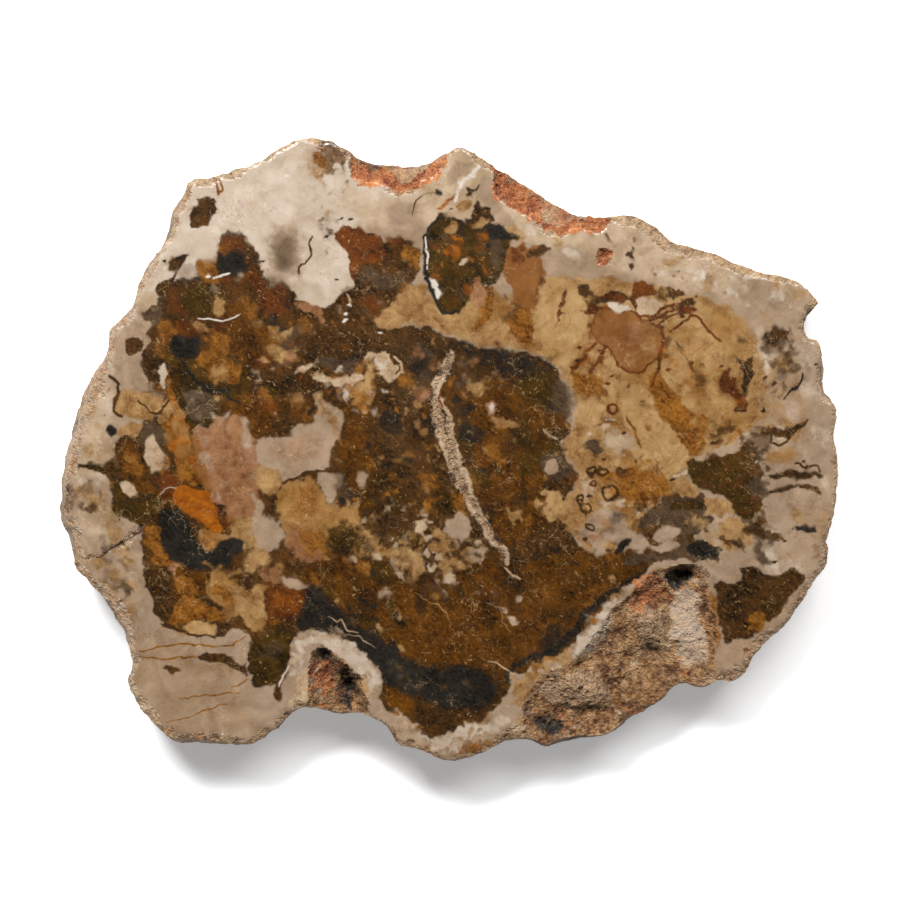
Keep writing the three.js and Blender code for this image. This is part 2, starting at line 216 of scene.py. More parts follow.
# The great divisions: pale rind, dark heart and honey-coloured right side
GROUNDS = [
    Patch(CREAM, "-175,58 -150,45 -128,62 -118,72 -100,78 -84,78 -50,62 -42,80 -44,100 -30,104 -6,108 "
          "4,140 -60,145 -130,125", 6),
    Patch(CREAM, "-175,58 -150,45 -140,30 -175,-30", 7, 0.7, 3),
    Patch(ASH, "-4,140 -20,100 0,96 22,96 44,84 84,74 112,74 126,60 140,50 170,52 165,80 110,110 60,120 "
          "20,142", 6),
    Patch(ASH, "-175,60 -150,40 -140,20 -150,0 -146,-10 -165,-14 -180,0", 5, 0.8, 2),
    Patch(UMBER, "-125,66 -117,73 -105,74 -99,82 -97,96 -90,95 -84,92 -80,73 -71,75 -66,66 -60,62 -52,60 "
          "-47,66 -41,70 -41,78 -48,90 -47,97 -30,93 -27,88 -24,92 -13,88 -11,78 -13,73 -33,53 -25,52 "
          "-17,55 20,42 30,42 40,40 47,35 50,28 54,25 55,16 54,9 50,5 49,0 57,-11 55,-17 51,-22 50,-31 "
          "61,-46 70,-46 78,-40 90,-25 98,-19 112,-20 110,-27 117,-30 104,-41 117,-43 116,-49 95,-48 "
          "88,-50 79,-60 73,-63 62,-74 50,-90 46,-89 36,-95 27,-98 28,-102 22,-113 -8,-128 -16,-116 "
          "-22,-115 -26,-112 -29,-108 -28,-101 -30,-95 -47,-80 -54,-80 -63,-77 -66,-81 -72,-98 -80,-104 "
          "-84,-103 -84,-98 -87,-94 -84,-80 -92,-78 -100,-79 -99,-76 -113,-81 -128,-72 -128,-65 -132,-48 "
          "-131,-33 -145,-28 -146,-20 -145,-12 -157,-7 -157,-5 -145,-6 -144,4 -133,6 -131,11 -125,12 "
          "-122,20 -124,28 -131,29 -132,38 -128,46 -131,51 -125,55 -124,60"),
    Patch(TAN, "-10,74 -33,55 -28,52 -22,53 -17,56 20,43 30,43 40,41 48,36 51,28 55,26 56,16 55,9 51,5 "
          "50,0 58,-11 56,-17 52,-22 51,-31 62,-45 70,-45 78,-39 90,-24 104,-14 104,-4 130,5 136,14 "
          "131,30 134,46 128,58 108,66 84,72 43,76 38,62 20,64 -1,58 -6,62", 1.2),
    Patch(HONEY, "104,62 126,55 134,44 131,30 122,12 104,2 92,-8 84,-5 80,8 73,20 72,32 92,44", 5, 0.9),
    Patch(BUFF, "0,62 22,58 40,44 56,34 66,34 70,22 82,2 100,-8 118,4 134,30 128,56 100,64 60,73 "
          "40,72", 3, 0.85, 0, 14),
    Patch(BUFF, "38,75 57,73 58,62 64,50 52,33 40,42", 1.2),
    Patch(BUFF, "70,30 88,27 96,11 103,0 102,-10 85,-6 82,8 69,24", 1.6),
    Mosaic((TAN, BUFF, OCHRE, BUFF, HONEY, TAN), HONEY_SIDE, 170, 4.5, 0.5, -60, 0.1),
    Mosaic((BUFF, TAN, HONEY), "92,62 134,58 144,24 134,8 110,10 100,34", 70, 6, 0.5, -50),
    Mosaic((OCHRE, UMBER, BUFF, RUST), HONEY_SIDE, 150, 1.1, 0.6, -60, 0.1),
    Patch(OCHRE, "66,2 104,-8 100,-24 70,-28 62,-12", 2, 0.8, 1, 9),
    Mosaic((OCHRE, BUFF, TAN, ASH, UMBER, CREAM), "54,28 66,24 74,4 104,-8 110,-24 86,-34 52,-34 "
           "56,-4", 80, 2.6, 0.7, 20, 0.2),
    Mosaic((ASH, TAUPE, SLATE, OLIVE, TAN), "100,-20 120,-22 150,-30 144,-44 110,-48 "
           "84,-40", 40, 3.5, 0.6, -10, 0.1),
    Patch(OCHRE, "100,34 130,38 134,14 110,0 96,12", 2, 0.45, 1, 7),
    Patch(OCHRE, "87,33 91,32 97,24 102,20 105,13 108,-4 104,-2 100,5 89,20 86,27", 1.2, 0.9, 0.8),
    Mosaic((OCHRE, FLAME, TAN, UMBER), "90,50 104,44 112,36 106,22 92,30", 44, 2, 0.5, -40),
    Mosaic((OCHRE, OLIVE, BUFF, UMBER), "104,16 124,12 132,4 106,-2 102,6", 70, 1.5, 0.6, 0, 0.1),
    Mosaic((OCHRE, FLAME, RUST, TAN), "54,48 64,46 72,34 66,22 54,24", 40, 2.4, 0.5, 50),
    Mosaic((OCHRE, TAN, AMBER), "8,66 40,62 40,46 22,44 12,52", 40, 3, 0.5, 80),
]
DARK_HEART = ("-66,20 -30,46 0,48 40,38 54,15 50,-20 56,-38 80,-45 60,-72 30,-92 -24,-88 -44,-82 -66,-78 "
              "-66,-30 -50,-5")
HEART_GROUNDS = [
    Patch(AMBER, "-62,-46 -45,-52 -22,-56 16,-46 30,-52 52,-44 76,-46 86,-52 74,-62 48,-90 28,-98 10,-94 "
          "-8,-92 -24,-88 -40,-78 -60,-76", 3, 1, 2),
    Patch(AMBER, "-80,22 -60,24 -38,14 -30,-8 -34,-28 -46,-26 -44,-6 -48,4 -56,12 -66,12", 4, 0.9, 3),
    Patch(AMBER, "10,36 26,30 44,14 46,-16 40,-34 30,-44 16,-34 4,-16 12,0 8,14", 5, 0.9, 3),
    Patch(SLATE, "-30,50 8,46 14,38 2,32 -6,10 0,-8 -12,-26 -24,-14 -34,4 -26,24", 4, 0.3, 3),
    Mosaic((AMBER, OCHRE, RUST, OLIVE, AMBER, INK), "-126,50 -118,74 -92,92 -84,78 -62,62 -60,26 -84,4 "
           "-124,26", 110, 5, 0.65, -60, 0.12),
    Mosaic((AMBER, RUST, SLATE, UMBER, OCHRE), "-46,96 -14,88 -12,72 -32,54 -62,58 "
           "-44,76", 45, 4, 0.5, -70),
    Mosaic((AMBER, UMBER, AMBER, OCHRE, OLIVE, INK), DARK_HEART, 230, 4.5, 0.6, -50),
    Mosaic((AMBER, RUST, UMBER, AMBER, OLIVE, INK), "-62,-46 -10,-58 30,-56 70,-52 46,-88 -28,-92 "
           "-60,-78", 100, 6, 0.5, -38),
    Mosaic((TAN, HONEY, OLIVE, INK, OCHRE, INK), DARK_HEART, 640, 1.3, 0.7, -45),
    Mosaic((TAN, ASH, OCHRE, INK, FLAME), "-126,50 -118,74 -92,92 -84,78 -62,62 -14,88 -20,60 -60,26 "
           "-84,4 -124,26", 130, 1.5, 0.55, -60),
    Patch(OLIVE, "28,16 46,10 48,-8 36,-12 28,0", 4, 0.5, 2),
    Patch(TAN, "-80,52 -68,50 -62,44 -66,38 -78,40", 4, 0.6, 2, 5),
    Patch(INK, "18,46 36,40 48,32 52,20 44,12 40,28 24,34 8,38", 3, 0.55, 2),
    Patch(INK, "40,-66 62,-66 54,-82 40,-94 22,-98 26,-88", 6, 0.4, 2),
    Patch(AMBER, "-12,-68 30,-62 58,-54 62,-60 40,-84 20,-92 -2,-90 -20,-84", 5, 0.5, 2),
    Patch(INK, "-64,-58 -52,-62 -46,-74 -22,-84 -18,-94 -34,-94 -66,-80", 3.5, 0.8, 1.5),
    Patch(TAN, "-52,-16 -40,-20 -28,-26 -6,-40 -6,-56 -16,-58 -46,-46 -60,-34", 4, 0.6, 2, 5),
    Patch(HONEY, "-50,-24 -42,-28 -34,-34 -28,-42 -32,-50 -44,-46 -52,-38", 2.5, 0.6, 2, 4),
    Patch(ASH, "-34,-24 -10,-24 8,-42 8,-58 -8,-54 -22,-48", 4, 0.7, 2, 3),
    Patch(OCHRE, "-28,-8 -6,-14 2,-26 -10,-30 -26,-22", 3, 0.5, 2, 3),
    Mosaic((SLATE, ROSE, INK, SLATE), "-19,44 -5,44 -5,26 -10,22 -16,24", 30, 3, 0.45, 85),
    Mosaic((ROSE, SLATE, UMBER), "4,42 14,40 12,26 6,28", 12, 2.5, 0.5, 80),
    Mosaic((HONEY, OLIVE, TAN), "17,33 30,35 24,23 6,22", 22, 1.5, 0.5, 60),
    Mosaic((SLATE, INK, ASH), "-26,-48 -2,-50 0,-64 -14,-64", 26, 2.6, 0.5, -50),
]

RIND = [
    Patch(TAUPE, "138,40 150,40 166,44 175,10 172,-30 160,-60 130,-100 112,-104 118,-86 134,-80 146,-64 "
          "152,-50 134,-44 138,-30 150,-28 150,-22 166,-16 164,-2 150,0 136,26", 4, 0.9),
    Patch(TAUPE, "43,86 58,88 72,76 62,74 43,76 42,79", 3, 0.8),
    Patch(TAUPE, "122,76 150,74 166,62 165,44 150,40 136,44 128,58 118,66", 5, 0.95),
    Patch(ASH, "86,74 104,78 122,72 126,64 110,66 92,70", 4, 0.5, 3),
    Patch(TAN, "126,46 150,42 158,12 150,-2 138,10 132,22", 7, 0.5, 2),
    *washes("148,-20 168,-22 160,-56 132,-90 114,-100 118,-84 138,-66 "
            "150,-40", (TAN, 7, 0.36, 2), (SLATE, 8, 0.16, 2)),
    *washes("-150,-80 -90,-84 -84,-108 -76,-130 -140,-126", (TAN, 8, 0.34, 2), (SLATE, 8, 0.16, 2)),
    Mosaic((ASH, CREAM, TAUPE, TAN), TOP_RIND, 120, 3.2, 0.6, -15, 0.08),
    Mosaic((TAUPE, ASH, TAN, CREAM), RIGHT_RIND, 60, 4.5, 0.45, -70),
    Mosaic((CREAM, ASH, TAN, TAUPE), LEFT_RIND, 80, 4.5, 0.45, 75),
    Mosaic((UMBER, OCHRE, SLATE, RUST), TOP_RIND, 110, 0.9, 0.7, -40),
    Mosaic((UMBER, SLATE, OCHRE), LEFT_RIND, 40, 1.0, 0.7, 60),
    Mosaic((UMBER, SLATE, OCHRE), RIGHT_RIND, 30, 1.0, 0.6, -60),
    Patch(SLATE, "134,50 141,53 148,50 149,42 143,38 136,42", 3, 0.6, 2),
    Patch(TAN, "-162,14 -150,24 -146,6 -150,-6 -160,-4", 4, 0.5, 2, 5),
    *washes("-166,-10 -148,-14 -134,-34 -132,-62 -142,-76 "
            "-158,-52", (TAN, 5, 0.55, 2, 6), (SLATE, 5, 0.35, 2, 3)),
    Patch(ASH, "-160,-12 -148,-16 -142,-34 -152,-44 -162,-36", 4, 0.4, 2, 9),
    Patch(BARK, "-165,-14 -161,-16 -160,-24 -163,-28 -166,-24", 1.4, 0.8, 1.5),
    Patch(UMBER, "-157,-24 -153,-24 -152,-27 -156,-28", 1.4, 0.6, 1.5),
    Mosaic((SLATE, TAN, UMBER), "-154,-44 -134,-48 -134,-74 -146,-72", 34, 3, 0.35, -65),
    Mosaic((SLATE, OLIVE, UMBER, ASH), "136,52 150,50 158,34 146,20 135,30", 60, 2, 0.45, 40),
]

UPPER_LEFT = [
    Mosaic((TAN, OCHRE, SLATE, ROSE), "-84,54 -62,53 -56,40 -80,36", 34, 2.4, 0.5, 10),
    Mosaic((ASH, TAUPE, CREAM, CREAM), "-122,76 -110,120 -60,136 -44,120 -10,112 -20,96 -60,90 "
           "-100,84", 60, 7, 0.35, -60),
    Patch(CREAM, "-66,65 -64,72 -64,76 -60,83 -57,93 -52,98 -46,99 -46,90 -40,71 -46,70 -46,66 -54,60 "
          "-61,64"),
    Patch(UMBER, "-105,108 -102,108 -100,106 -102,100 -104,97 -107,95 -110,96 -112,100 -109,104 "
          "-108,107", 0.8, 1, 0.8),
    Patch(UMBER, "-118,72 -117,77 -112,84 -114,85 -120,82 -122,77 -119,77 -118,79 -119,74 -126,72 "
          "-126,66 -123,65", 0.8),
    Patch(SLATE, "-130,61 -126,62 -124,65 -124,61 -125,56 -126,54 -128,54 -132,58"),
    Patch(UMBER, "-139,47 -134,49 -130,44 -135,39 -137,40 -138,42"),
    Patch(RUST, "-97,93 -89,93 -86,87 -91,83 -97,86", 3, 0.7),
    Patch(INK, "-99,84 -93,86 -88,84 -87,79 -90,74 -96,74 -100,79", 2.5, 0.85),
    Patch(OLIVE, "-117,68 -108,72 -101,70 -100,62 -106,55 -113,57", 2.5, 0.9),
    Patch(TAN, "-100,66.5 -97,66 -96.5,61 -98.5,58.5 -101.5,60", 1),
    Patch(RUST, "-82,72 -72,73 -68,66 -72,58 -80,60 -84,66", 3, 0.7),
    Patch(TAN, "-110,53.5 -107,54.5 -104,52 -102.5,49.5 -107,50", 1),
    Patch(OCHRE, "-104,53 -97,52 -92,46 -97,42 -104,46", 2.5, 0.8, 1.5),
    Patch(AMBER, "-90,52 -80,53 -76,45 -84,38 -92,43", 3, 0.9),
    Patch(INK, "-120,48 -113,48 -107,50 -106,44 -108,40 -113,38 -119,41", 1.6, 0.95),
    Patch(TAUPE, "-79,97 -64,97 -62,84 -64,72 -78,72", 6, 0.8),
    Patch(SLATE, "-75,90 -70,93 -66,90 -64,84 -66,76 -73,75 -76,82", 5, 0.6),
    Patch(ROSE, "-66,64 -57,62 -54,60 -52,57 -52,54 -54,54 -56,57 -60,58 -64,60", 1),
    Patch(BARK, "-55,136 -50,135 -43,130 -42,126 -48,124 -49,120 -52,119", 1.4, 0.95, 2.4),
    Patch(TAN, "-58,131 -53,128 -52,118 -56,112 -60,122", 4, 0.5, 2),
    Patch(OCHRE, "-58,130 -53,128 -50,114 -54,110 -58,118", 2, 0.6, 2, 3),
    Mosaic((UMBER, OCHRE, TAN, SLATE), "-56,134 -40,126 -44,104 -50,84 -56,86 -54,110 "
           "-60,124", 50, 1.3, 0.6, 80),
    Mosaic((UMBER, TAN, OCHRE), "-124,104 -112,116 -106,96 -114,84 -118,76 -126,80", 36, 1.2, 0.55, 70),
    Patch(SLATE, "-54,101 -50,102 -49,92 -50,84 -53,87", 2, 0.35, 2.5),
    Patch(ASH, "-50,112 -20,112 -6,109 -10,98 -24,92 -34,97 -46,101", 6, 0.5, 3),
    Patch(TAUPE, "-24,92 -12,90 -10,98 -14,106 -24,106", 3, 0.8),
    Vein(OCHRE, "-104,117 -102,115 -100,117 -99.5,112.5 -99,110.5 -97.5,112 -98.5,117", 1.1),
    Vein(MILK, "-107,56 -97,56 -92,57 -90,58", 0.7, 0.8),
    Vein(MILK, "-100,74 -97,75 -94,75.5", 0.9),
    Vein(UMBER, "-65,76 -64,78 -60,82 -59,85 -60,89 -58,92", 1.1),
    *dots(INK, 1.2, "-46,99 -42,99 -48,73 -80,81 -122,81 -110,101 -52,92 2,103 5,105"),
    *dots(MILK, 1.4, "-44,58 -44,55 -29,50 -42,62 -103,74 -90,99 -70,118"),
    Vein(CHALK, "-43.5,66.5 -42,64 -41.5,61.5", 1.1),
]

TOP_MIDDLE = [
    Patch(RUST, "-46,97 -40,94 -38,96 -36,94 -31,94 -29,89 -27,87 -27,83 -29,80 -41,80 -48,90 "
          "-48,94"),
    Patch(OCHRE, "-18,89 -14,88 -12,82 -12,77 -15,78 -18,83", 1.4, 0.85, 1.8),
    Patch(SLATE, "-35,78 -27,78 -18,75 -16,71 -23,67 -36,73", 2.5, 0.75, 1.5),
    Patch(TAUPE, "1,122 5,124 13,124 9,118 3,113 0,116", 1.2, 0.9),
    Patch(TAUPE, "14,120 20,118 22,104 30,97 24,95 17,103 13,110", 1.6, 0.8),
    Patch(INK, "-6,111.5 -4,112 -3,110.5 -4.5,109.5", 0.8),
    Patch(FLAME, "-4.5,102.5 -3,103.5 2,110 3,110 -1.5,102", 0.8),
    Patch(OLIVE, "-9,84 -7,98 -4,101 0,101 5,99 8,96 20,96 25,94 28,91 31,92 30,90 27,88 26,82 22,71 "
          "15,69 12,72 8,60 2,57 -2,60 -5,64 -8,71"),
    Patch(INK, "14,94 21,96 26,93 30,92 27,88 22,90 21,86 17,86 14,90", 1.2, 0.95),
    Mosaic((AMBER, OLIVE, INK, SLATE, AMBER, FLAME), "-6,96 8,97 20,92 24,78 10,66 0,59 "
           "-7,74", 90, 2.2, 0.6, -70, 0.15),
    Patch(SLATE, "20,90 23,90 25,86 23,80 21,76 18,80 20,85", 1.2, 0.9),
    Patch(ROSE, "12,74 16,70 16,64 13,60 10,64", 1, 0.9),
    Patch(TAN, "-1.5,96.5 1,98.5 4,98.5 4.5,94.5 2,93 0,93.5", 0.8),
    Patch(MILK, "-7,74 -6,74 -2,66 -3,64 -5,66", 0.8),
    Patch(ASH, "6.5,82 8,82.5 9,80.5 8,78.5 6.5,79", 0.7, 0.8),
    Patch(UMBER, "12,108 14,107 14,105 17,103 19,100 20,97 14,96 8,97 6,99 11,100 10,101 13,104"),
    Patch(TAN, "6,108 10,108.5 12,105 8,102 4,104.5", 1),
    Patch(UMBER, "7.5,111 10,113 12.5,113.5 15,116 14,113 11,110.5 8,109", 0.8, 0.9),
    Patch(HONEY, "13,66 22,68 26,66 29,60 24,56 16,58", 2, 0.6),
    Patch(OCHRE, "16,68 20,68 20,61 18,55 14,51 12,52 15,57", 1, 0.9, 1),
    Patch(TAN, "9,96 15,100 18,98 16,96", 0.8, 0.8),
    Vein(INK, "-4,100 -7,97 -9,91 -10,85 -9,79 -7,69 -5,64 -2,59 1,58 4,59", 2),
    Vein(MILK, "-8.5,90.5 -9,86 -8,78", 0.9),
    Vein(UMBER, "-15,101 -14.5,104.5 -13,107.5 -9,110 -6,111", 0.8, 0.75),
]

TOP_RIGHT = [
    Patch(SALMON, "25,86 31,86 32,90 34,86 41,87 43,86 42,83 39,82 43,76 41,74 40,61 34,60 28,65 28,70 "
          "25,74 24,78 26,82"),
    Patch(RUST, "26,86 33,87 35,82 33,79 28,81", 1.6, 0.9, 1.6),
    Patch(UMBER, "35,84 39,86 44,87 42,84 37,82", 1, 0.8, 1),
    Patch(RUST, "39,73 42,75 42,68 40,60 39,62", 0.9, 0.8),
    Patch(BUFF, "41,74 56,74 60,62 62,52 52,42 44,43 38,54 40,62", 2.4, 0.8),
    Patch(OCHRE, "37,60 32,60 28,57 26,52 30,49 31,45 38,44 38,52 36,58", 1, 0.95),
    Patch(RUST, "50,72 51,68 50,61 46,51", 0.8),
    Patch(UMBER, "57,74 64,69 65,66 61,64 58,68", 1.2, 0.8, 1.6),
    Patch(UMBER, "59,63 64,64 69,67 70,64 66,62 60,60", 1, 0.8, 1.4),
    Patch(RUST, "66,66 70,68 79,68 80,63 68,64"),
    Patch(RUST, "80,67 84,74 90,70 91,68 87,67 84,64 82,61 80,60"),
    Patch(RUST, "55,60 60,60 65,62 66,60 65,52 63,50 62,54 64,57 59,58", 0.9, 0.95, 0.8),
    Patch(SALMON, "65,61 68,62 70,60 79,60 82,58 84,55 91,53 92,49 95,46 91,38 84,33 80,32 76,34 72,41 "
          "64,50"),
    Vein(RUST, "84,56 78,60 70,60 65,61 63,51 67,46 72,41 74,36 79,32.5 84,33.5", 1.3, 0.85),
    Vein(RUST, "84,33.5 91,39 93,43 94,47 92,52 84,56", 1.6, 0.85),
    Mosaic((ROSE, SALMON, TAN, RUST), "66,59 88,54 92,44 82,34 68,46", 34, 5, 0.4, -30),
    Patch(CREAM, "70,62 72,63 77,62 78.5,61 77.5,59.5 73,59.5 70.5,60.5", 0.8),
    Patch(ASH, "82,60 83,65 87,66 92,64 95,62 91,59 87,57 83,58", 1, 0.95),
    Patch(UMBER, "78,86 81,86 80,82 80,77 79,76 79,81", 0.8, 0.8, 1.2),
    Patch(UMBER, "95,70 98,70 102,68 99,65 99,61 97,60 97,64 95,67", 1, 0.9, 1.4),
    Patch(UMBER, "90,69 94.5,68 95.5,64.5 91.5,65", 1, 0.6, 1.6),
    Patch(UMBER, "100.5,63.5 104,65 108,65.5 105.5,62.5 103,61", 0.9, 0.85, 1.4),
    Patch(RUST, "100.5,61.5 105,61.5 107.5,59.5 105,57 101,58", 1.2, 0.9, 0.8),
    Patch(MILK, "104,73 110,79 113,76 112,73", 2.4, 0.6, 2),
    Patch(UMBER, "137,47 141,52 145,51 147,49 147,46 139,44", 1.8, 0.85, 1.6),
    Vein(RUST, "81,59 84,57 88,57 93,60 98,62", 1.5),
    Vein(RUST, "88,55 92,56.5 96.5,59 101,61", 1.1),
    Vein(RUST, "91.5,53 95,56.5 99.5,58", 0.9),
    Vein(RUST, "97,51 106,57 110,56 112,53 118,47", 1.3),
]

RIGHT_SIDE = [
    Patch(OCHRE, "88,28 93,30 101,20 104,15 103,4 101,3 100,9 96,14 92,17", 2, 0.9, 1),
    Patch(OCHRE, "104,16 110,15 114,8 112,1 104,-3 103,3 107,6", 2.6, 0.6, 2),
    Patch(RUST, "118,31 123,37 122,30 125,28 126,25 130,21 130,17 128,16 125,17 124,14 125,21 122,23 "
          "119,27"),
    Patch(UMBER, "125,39 128,37 130,39 133,40 131,37 132,30 130,26 130,22 128,25 129,29 128,34", 0.8),
    Patch(UMBER, "141,41 147,43 153,39 153,33 150,30 146,31 142,35", 4, 0.42, 2.4),
    Patch(OLIVE, "104,-5 112,-5 117,-3 122,-3 131,3 134,1 137,-9 136,-14 138,-21 134,-29 131,-31 127,-30 "
          "124,-27 121,-21 111,-18 107,-15 104,-11 103,-8"),
    Patch(SLATE, "126,2 134,8 140,9 144,8 136,-3 137,-9 134,-13 130,-12 129,-5", 1.2, 0.6, 2.4),
    Mosaic((UMBER, TAN, SLATE, ASH), "126,2 134,10 148,10 158,13 142,4 140,-10 134,-14 "
           "128,-6", 90, 1.2, 0.7, 20, 0.2),
    Mosaic((INK, OLIVE, AMBER, OLIVE, AMBER), "104,-4 128,0 134,-8 136,-26 128,-29 120,-20 "
           "105,-14", 80, 2.2, 0.5, -10, 0.3),
    Patch(SLATE, "130,-13 136,-14 140,-16 138,-20 133,-21 129,-17", 1.4, 0.7, 2),
    Patch(UMBER, "140,9 144,7 155,12 158,12 148,5 140,6", 0.9, 0.95, 0.6),
    Patch(HONEY, "139,-1 150,1 153,-4 146,-8 139,-7", 3, 0.7),
    Patch(UMBER, "137,-13 141,-11 151,-9 156,-9 163,-11 162,-13 160,-12"),
    Patch(UMBER, "138,-18 151,-15 157,-15 161,-17 162,-21 159,-20 157,-18 151,-17 139,-20"),
    Patch(INK, "148,-35 150,-33 152,-34 156,-33 159,-35 157,-36 153,-36 150,-34", 0.7),
    Patch(TAN, "112,-21 118,-21 122,-24 124,-29 121,-28 117,-29 112,-26", 1, 0.95, 0.8),
    Patch(TAN, "118,-30 130,-31 134,-36 130,-44 119,-44 117,-36", 2, 0.75, 1),
    Patch(UMBER, "117,-38 121,-39 128,-42 127,-43 122,-42 118,-40", 1, 0.8, 0.8),
    Patch(UMBER, "129,-34 134,-32 139,-32 135,-33 137,-36 142,-38 140,-40 136,-38 "
          "130,-37", 0.9, 0.9, 0.9),
    Patch(SLATE, "133,-38 137,-39 137,-46 141,-50 135,-49 133,-44", 1.6, 0.7, 1),
    Mosaic((UMBER, SLATE, OLIVE), "126,-28 140,-28 144,-44 128,-44", 30, 1.8, 0.6, -30),
    Patch(UMBER, "127,-50 135,-51 138,-54 142,-56 149,-52 153,-54 154,-56 153,-59 147,-63 146,-67 "
          "141,-74 135,-76 134,-80 130,-82 125,-82 121,-84 119,-84 118,-74 116,-70 114,-62 117,-56 "
          "125,-57 128,-55"),
    Patch(OCHRE, "130,-72 134,-71 138,-72 134,-80 130,-80", 1.2, 0.75, 1.8),
    Patch(RUST, "158,-40 164,-38 164,-46 159,-50 156,-47", 3, 0.4, 1.5),
    Vein(RUST, "93,46 93,42 91,33 88,27", 1.7),
    Vein(INK, "153.5,32.5 153,28 148.5,25 146.5,21", 0.8),
    Vein(UMBER, "140.5,6 140.5,3 143.5,1.5 147,3 148,6", 1.1),
    Vein(UMBER, "150.5,-6.5 152.5,-6 154.5,-8 160.5,-7 161.5,-10", 1.3),
    *dots(UMBER, 1.4, "137,31 119,36 106,37 115,3 154,-5 142,-49 142,28 137,16 124,25 146,-40 128,-23"),
    *dots(INK, 1.3, "160,37 168,11 97,-13 119,-67 152,-35 112,-41"),
    *dots(RUST, 1.6, "107,2 108,8 121,-41 129,-87 124,29 145,-39 132,-22"),
]

HONEY_EDGE = [
    Patch(OCHRE, "54,33 62,33 68,26 62,22 55,25", 2, 0.9, 2),
    Patch(BUFF, "56,22 66,23 68,16 66,9 59,6 57,13", 2.4, 0.5, 2.4),
    Patch(ASH, "69,8 76,8 82,4 82,-1 74,-4 68,0", 2.4, 0.55),
    Patch(SLATE, "58,1 60,3 64,4 68,-1 66,-3", 1, 0.95),
    Patch(OCHRE, "61,-10 70,-9 76,-13 78,-19 75,-22 68,-16 62,-14", 2.6, 0.6, 2),
    Patch(ASH, "58,-14 62,-13 64,-20 61,-24 57,-22 56,-18", 2, 0.6),
    Patch(OCHRE, "76,-7 84,-9 95,-10 100,-14 98,-17 86,-24 77,-23 75,-16", 2.4, 0.85, 1.6),
    Patch(TAN, "93,-12 102,-13 110,-17 109,-21 101,-21", 1.4, 0.9),
    Patch(TAUPE, "56,-36 66,-26 72,-25 76,-28 78,-33 74,-39 61,-42", 1.4, 0.95),
    Mosaic((SLATE, ROSE, TAN, UMBER), "56,-36 72,-25 79,-33 74,-42 61,-42", 40, 2.2, 0.4, 10),
    Patch(TAUPE, "62,-41 68,-40 68,-45 66,-48 63,-45", 1, 0.85),
    Patch(TAN, "44,-22 48,-19 52,-21 52,-27 56,-33 52,-35 47,-29", 1.4, 0.85, 2.4),
    Patch(TAUPE, "75,-35 84,-36 90,-42 84,-44 76,-44 73,-41", 1.4, 0.85, 1),
    Patch(INK, "76,-39 79.5,-37.5 79,-41 75,-44.5 72.5,-45 73.5,-42"),
    Patch(SLATE, "86,-29 92,-25 98,-19 101,-21 113,-21 111,-27 118,-29 113,-32 112,-36 103,-39 104,-41 "
          "110,-41 118,-43 116,-46 116,-49 93,-48 86,-49 80,-52 76,-50 80,-46 88,-45 96,-46 102,-43 "
          "101,-38 96,-33 90,-33 84,-36 83,-33", 1, 1, 1.2),
    Patch(OLIVE, "99,-22 111,-22 112,-25 101,-26 95,-25", 1.4, 0.9),
    Patch(TAUPE, "90,-37 92,-34 96,-33 100,-35 100,-38 96,-40 92,-39", 1.2, 0.95),
    Patch(TAUPE, "88,-41 94,-42 100,-41 101,-43 95,-45 88,-43", 1, 0.9),
    Patch(INK, "103,-42 110,-41 117,-43 115,-48 105,-47", 1.2, 0.9),
    Patch(TAN, "103,-29 110,-28 115,-33 110,-36 104,-33", 1.4, 0.5, 2),
    Vein(RUST, "55,34.5 57.5,38.5 64.5,46", 1.9),
    Vein(RUST, "62,33.5 63.5,36.5 66.5,40 69,45.5", 2.2),
    Vein(OCHRE, "78,14 81,8 83.5,0.5", 1.4, 0.8),
    ring(UMBER, 70.5, -19, 3.8, 1.5),
    ring(UMBER, 60.2, -26, 2.6, 1.6),
    ring(UMBER, 62.5, -10, 2, 1.5),
    ring(UMBER, 67.5, -10, 1.8, 1.4),
    ring(UMBER, 75, -10, 2, 1.6),
    ring(RUST, 79, -10.5, 1.6, 1.2),
    ring(UMBER, 57, -22, 1.6, 1.2),
    ring(RUST, 63.5, -15, 1.4, 1),
    ring(RUST, 55, -13, 1.8, 1.2),
    ring(UMBER, 62, -34, 1.6, 1),
    ring(RUST, 71, 17, 2, 1.5),
    *dots(UMBER, 1.5, "80,-14.5 82,-5.5 67.5,-4.7 76,7 61.7,-21 57.2,-22 60,-39 56,38 93,52 98,-13"),
    *dots(RUST, 1.6, "54,35 70,27.5 72,32 58,44 66,42 102,57 107,60 96,34 88,40 84,42"),
]

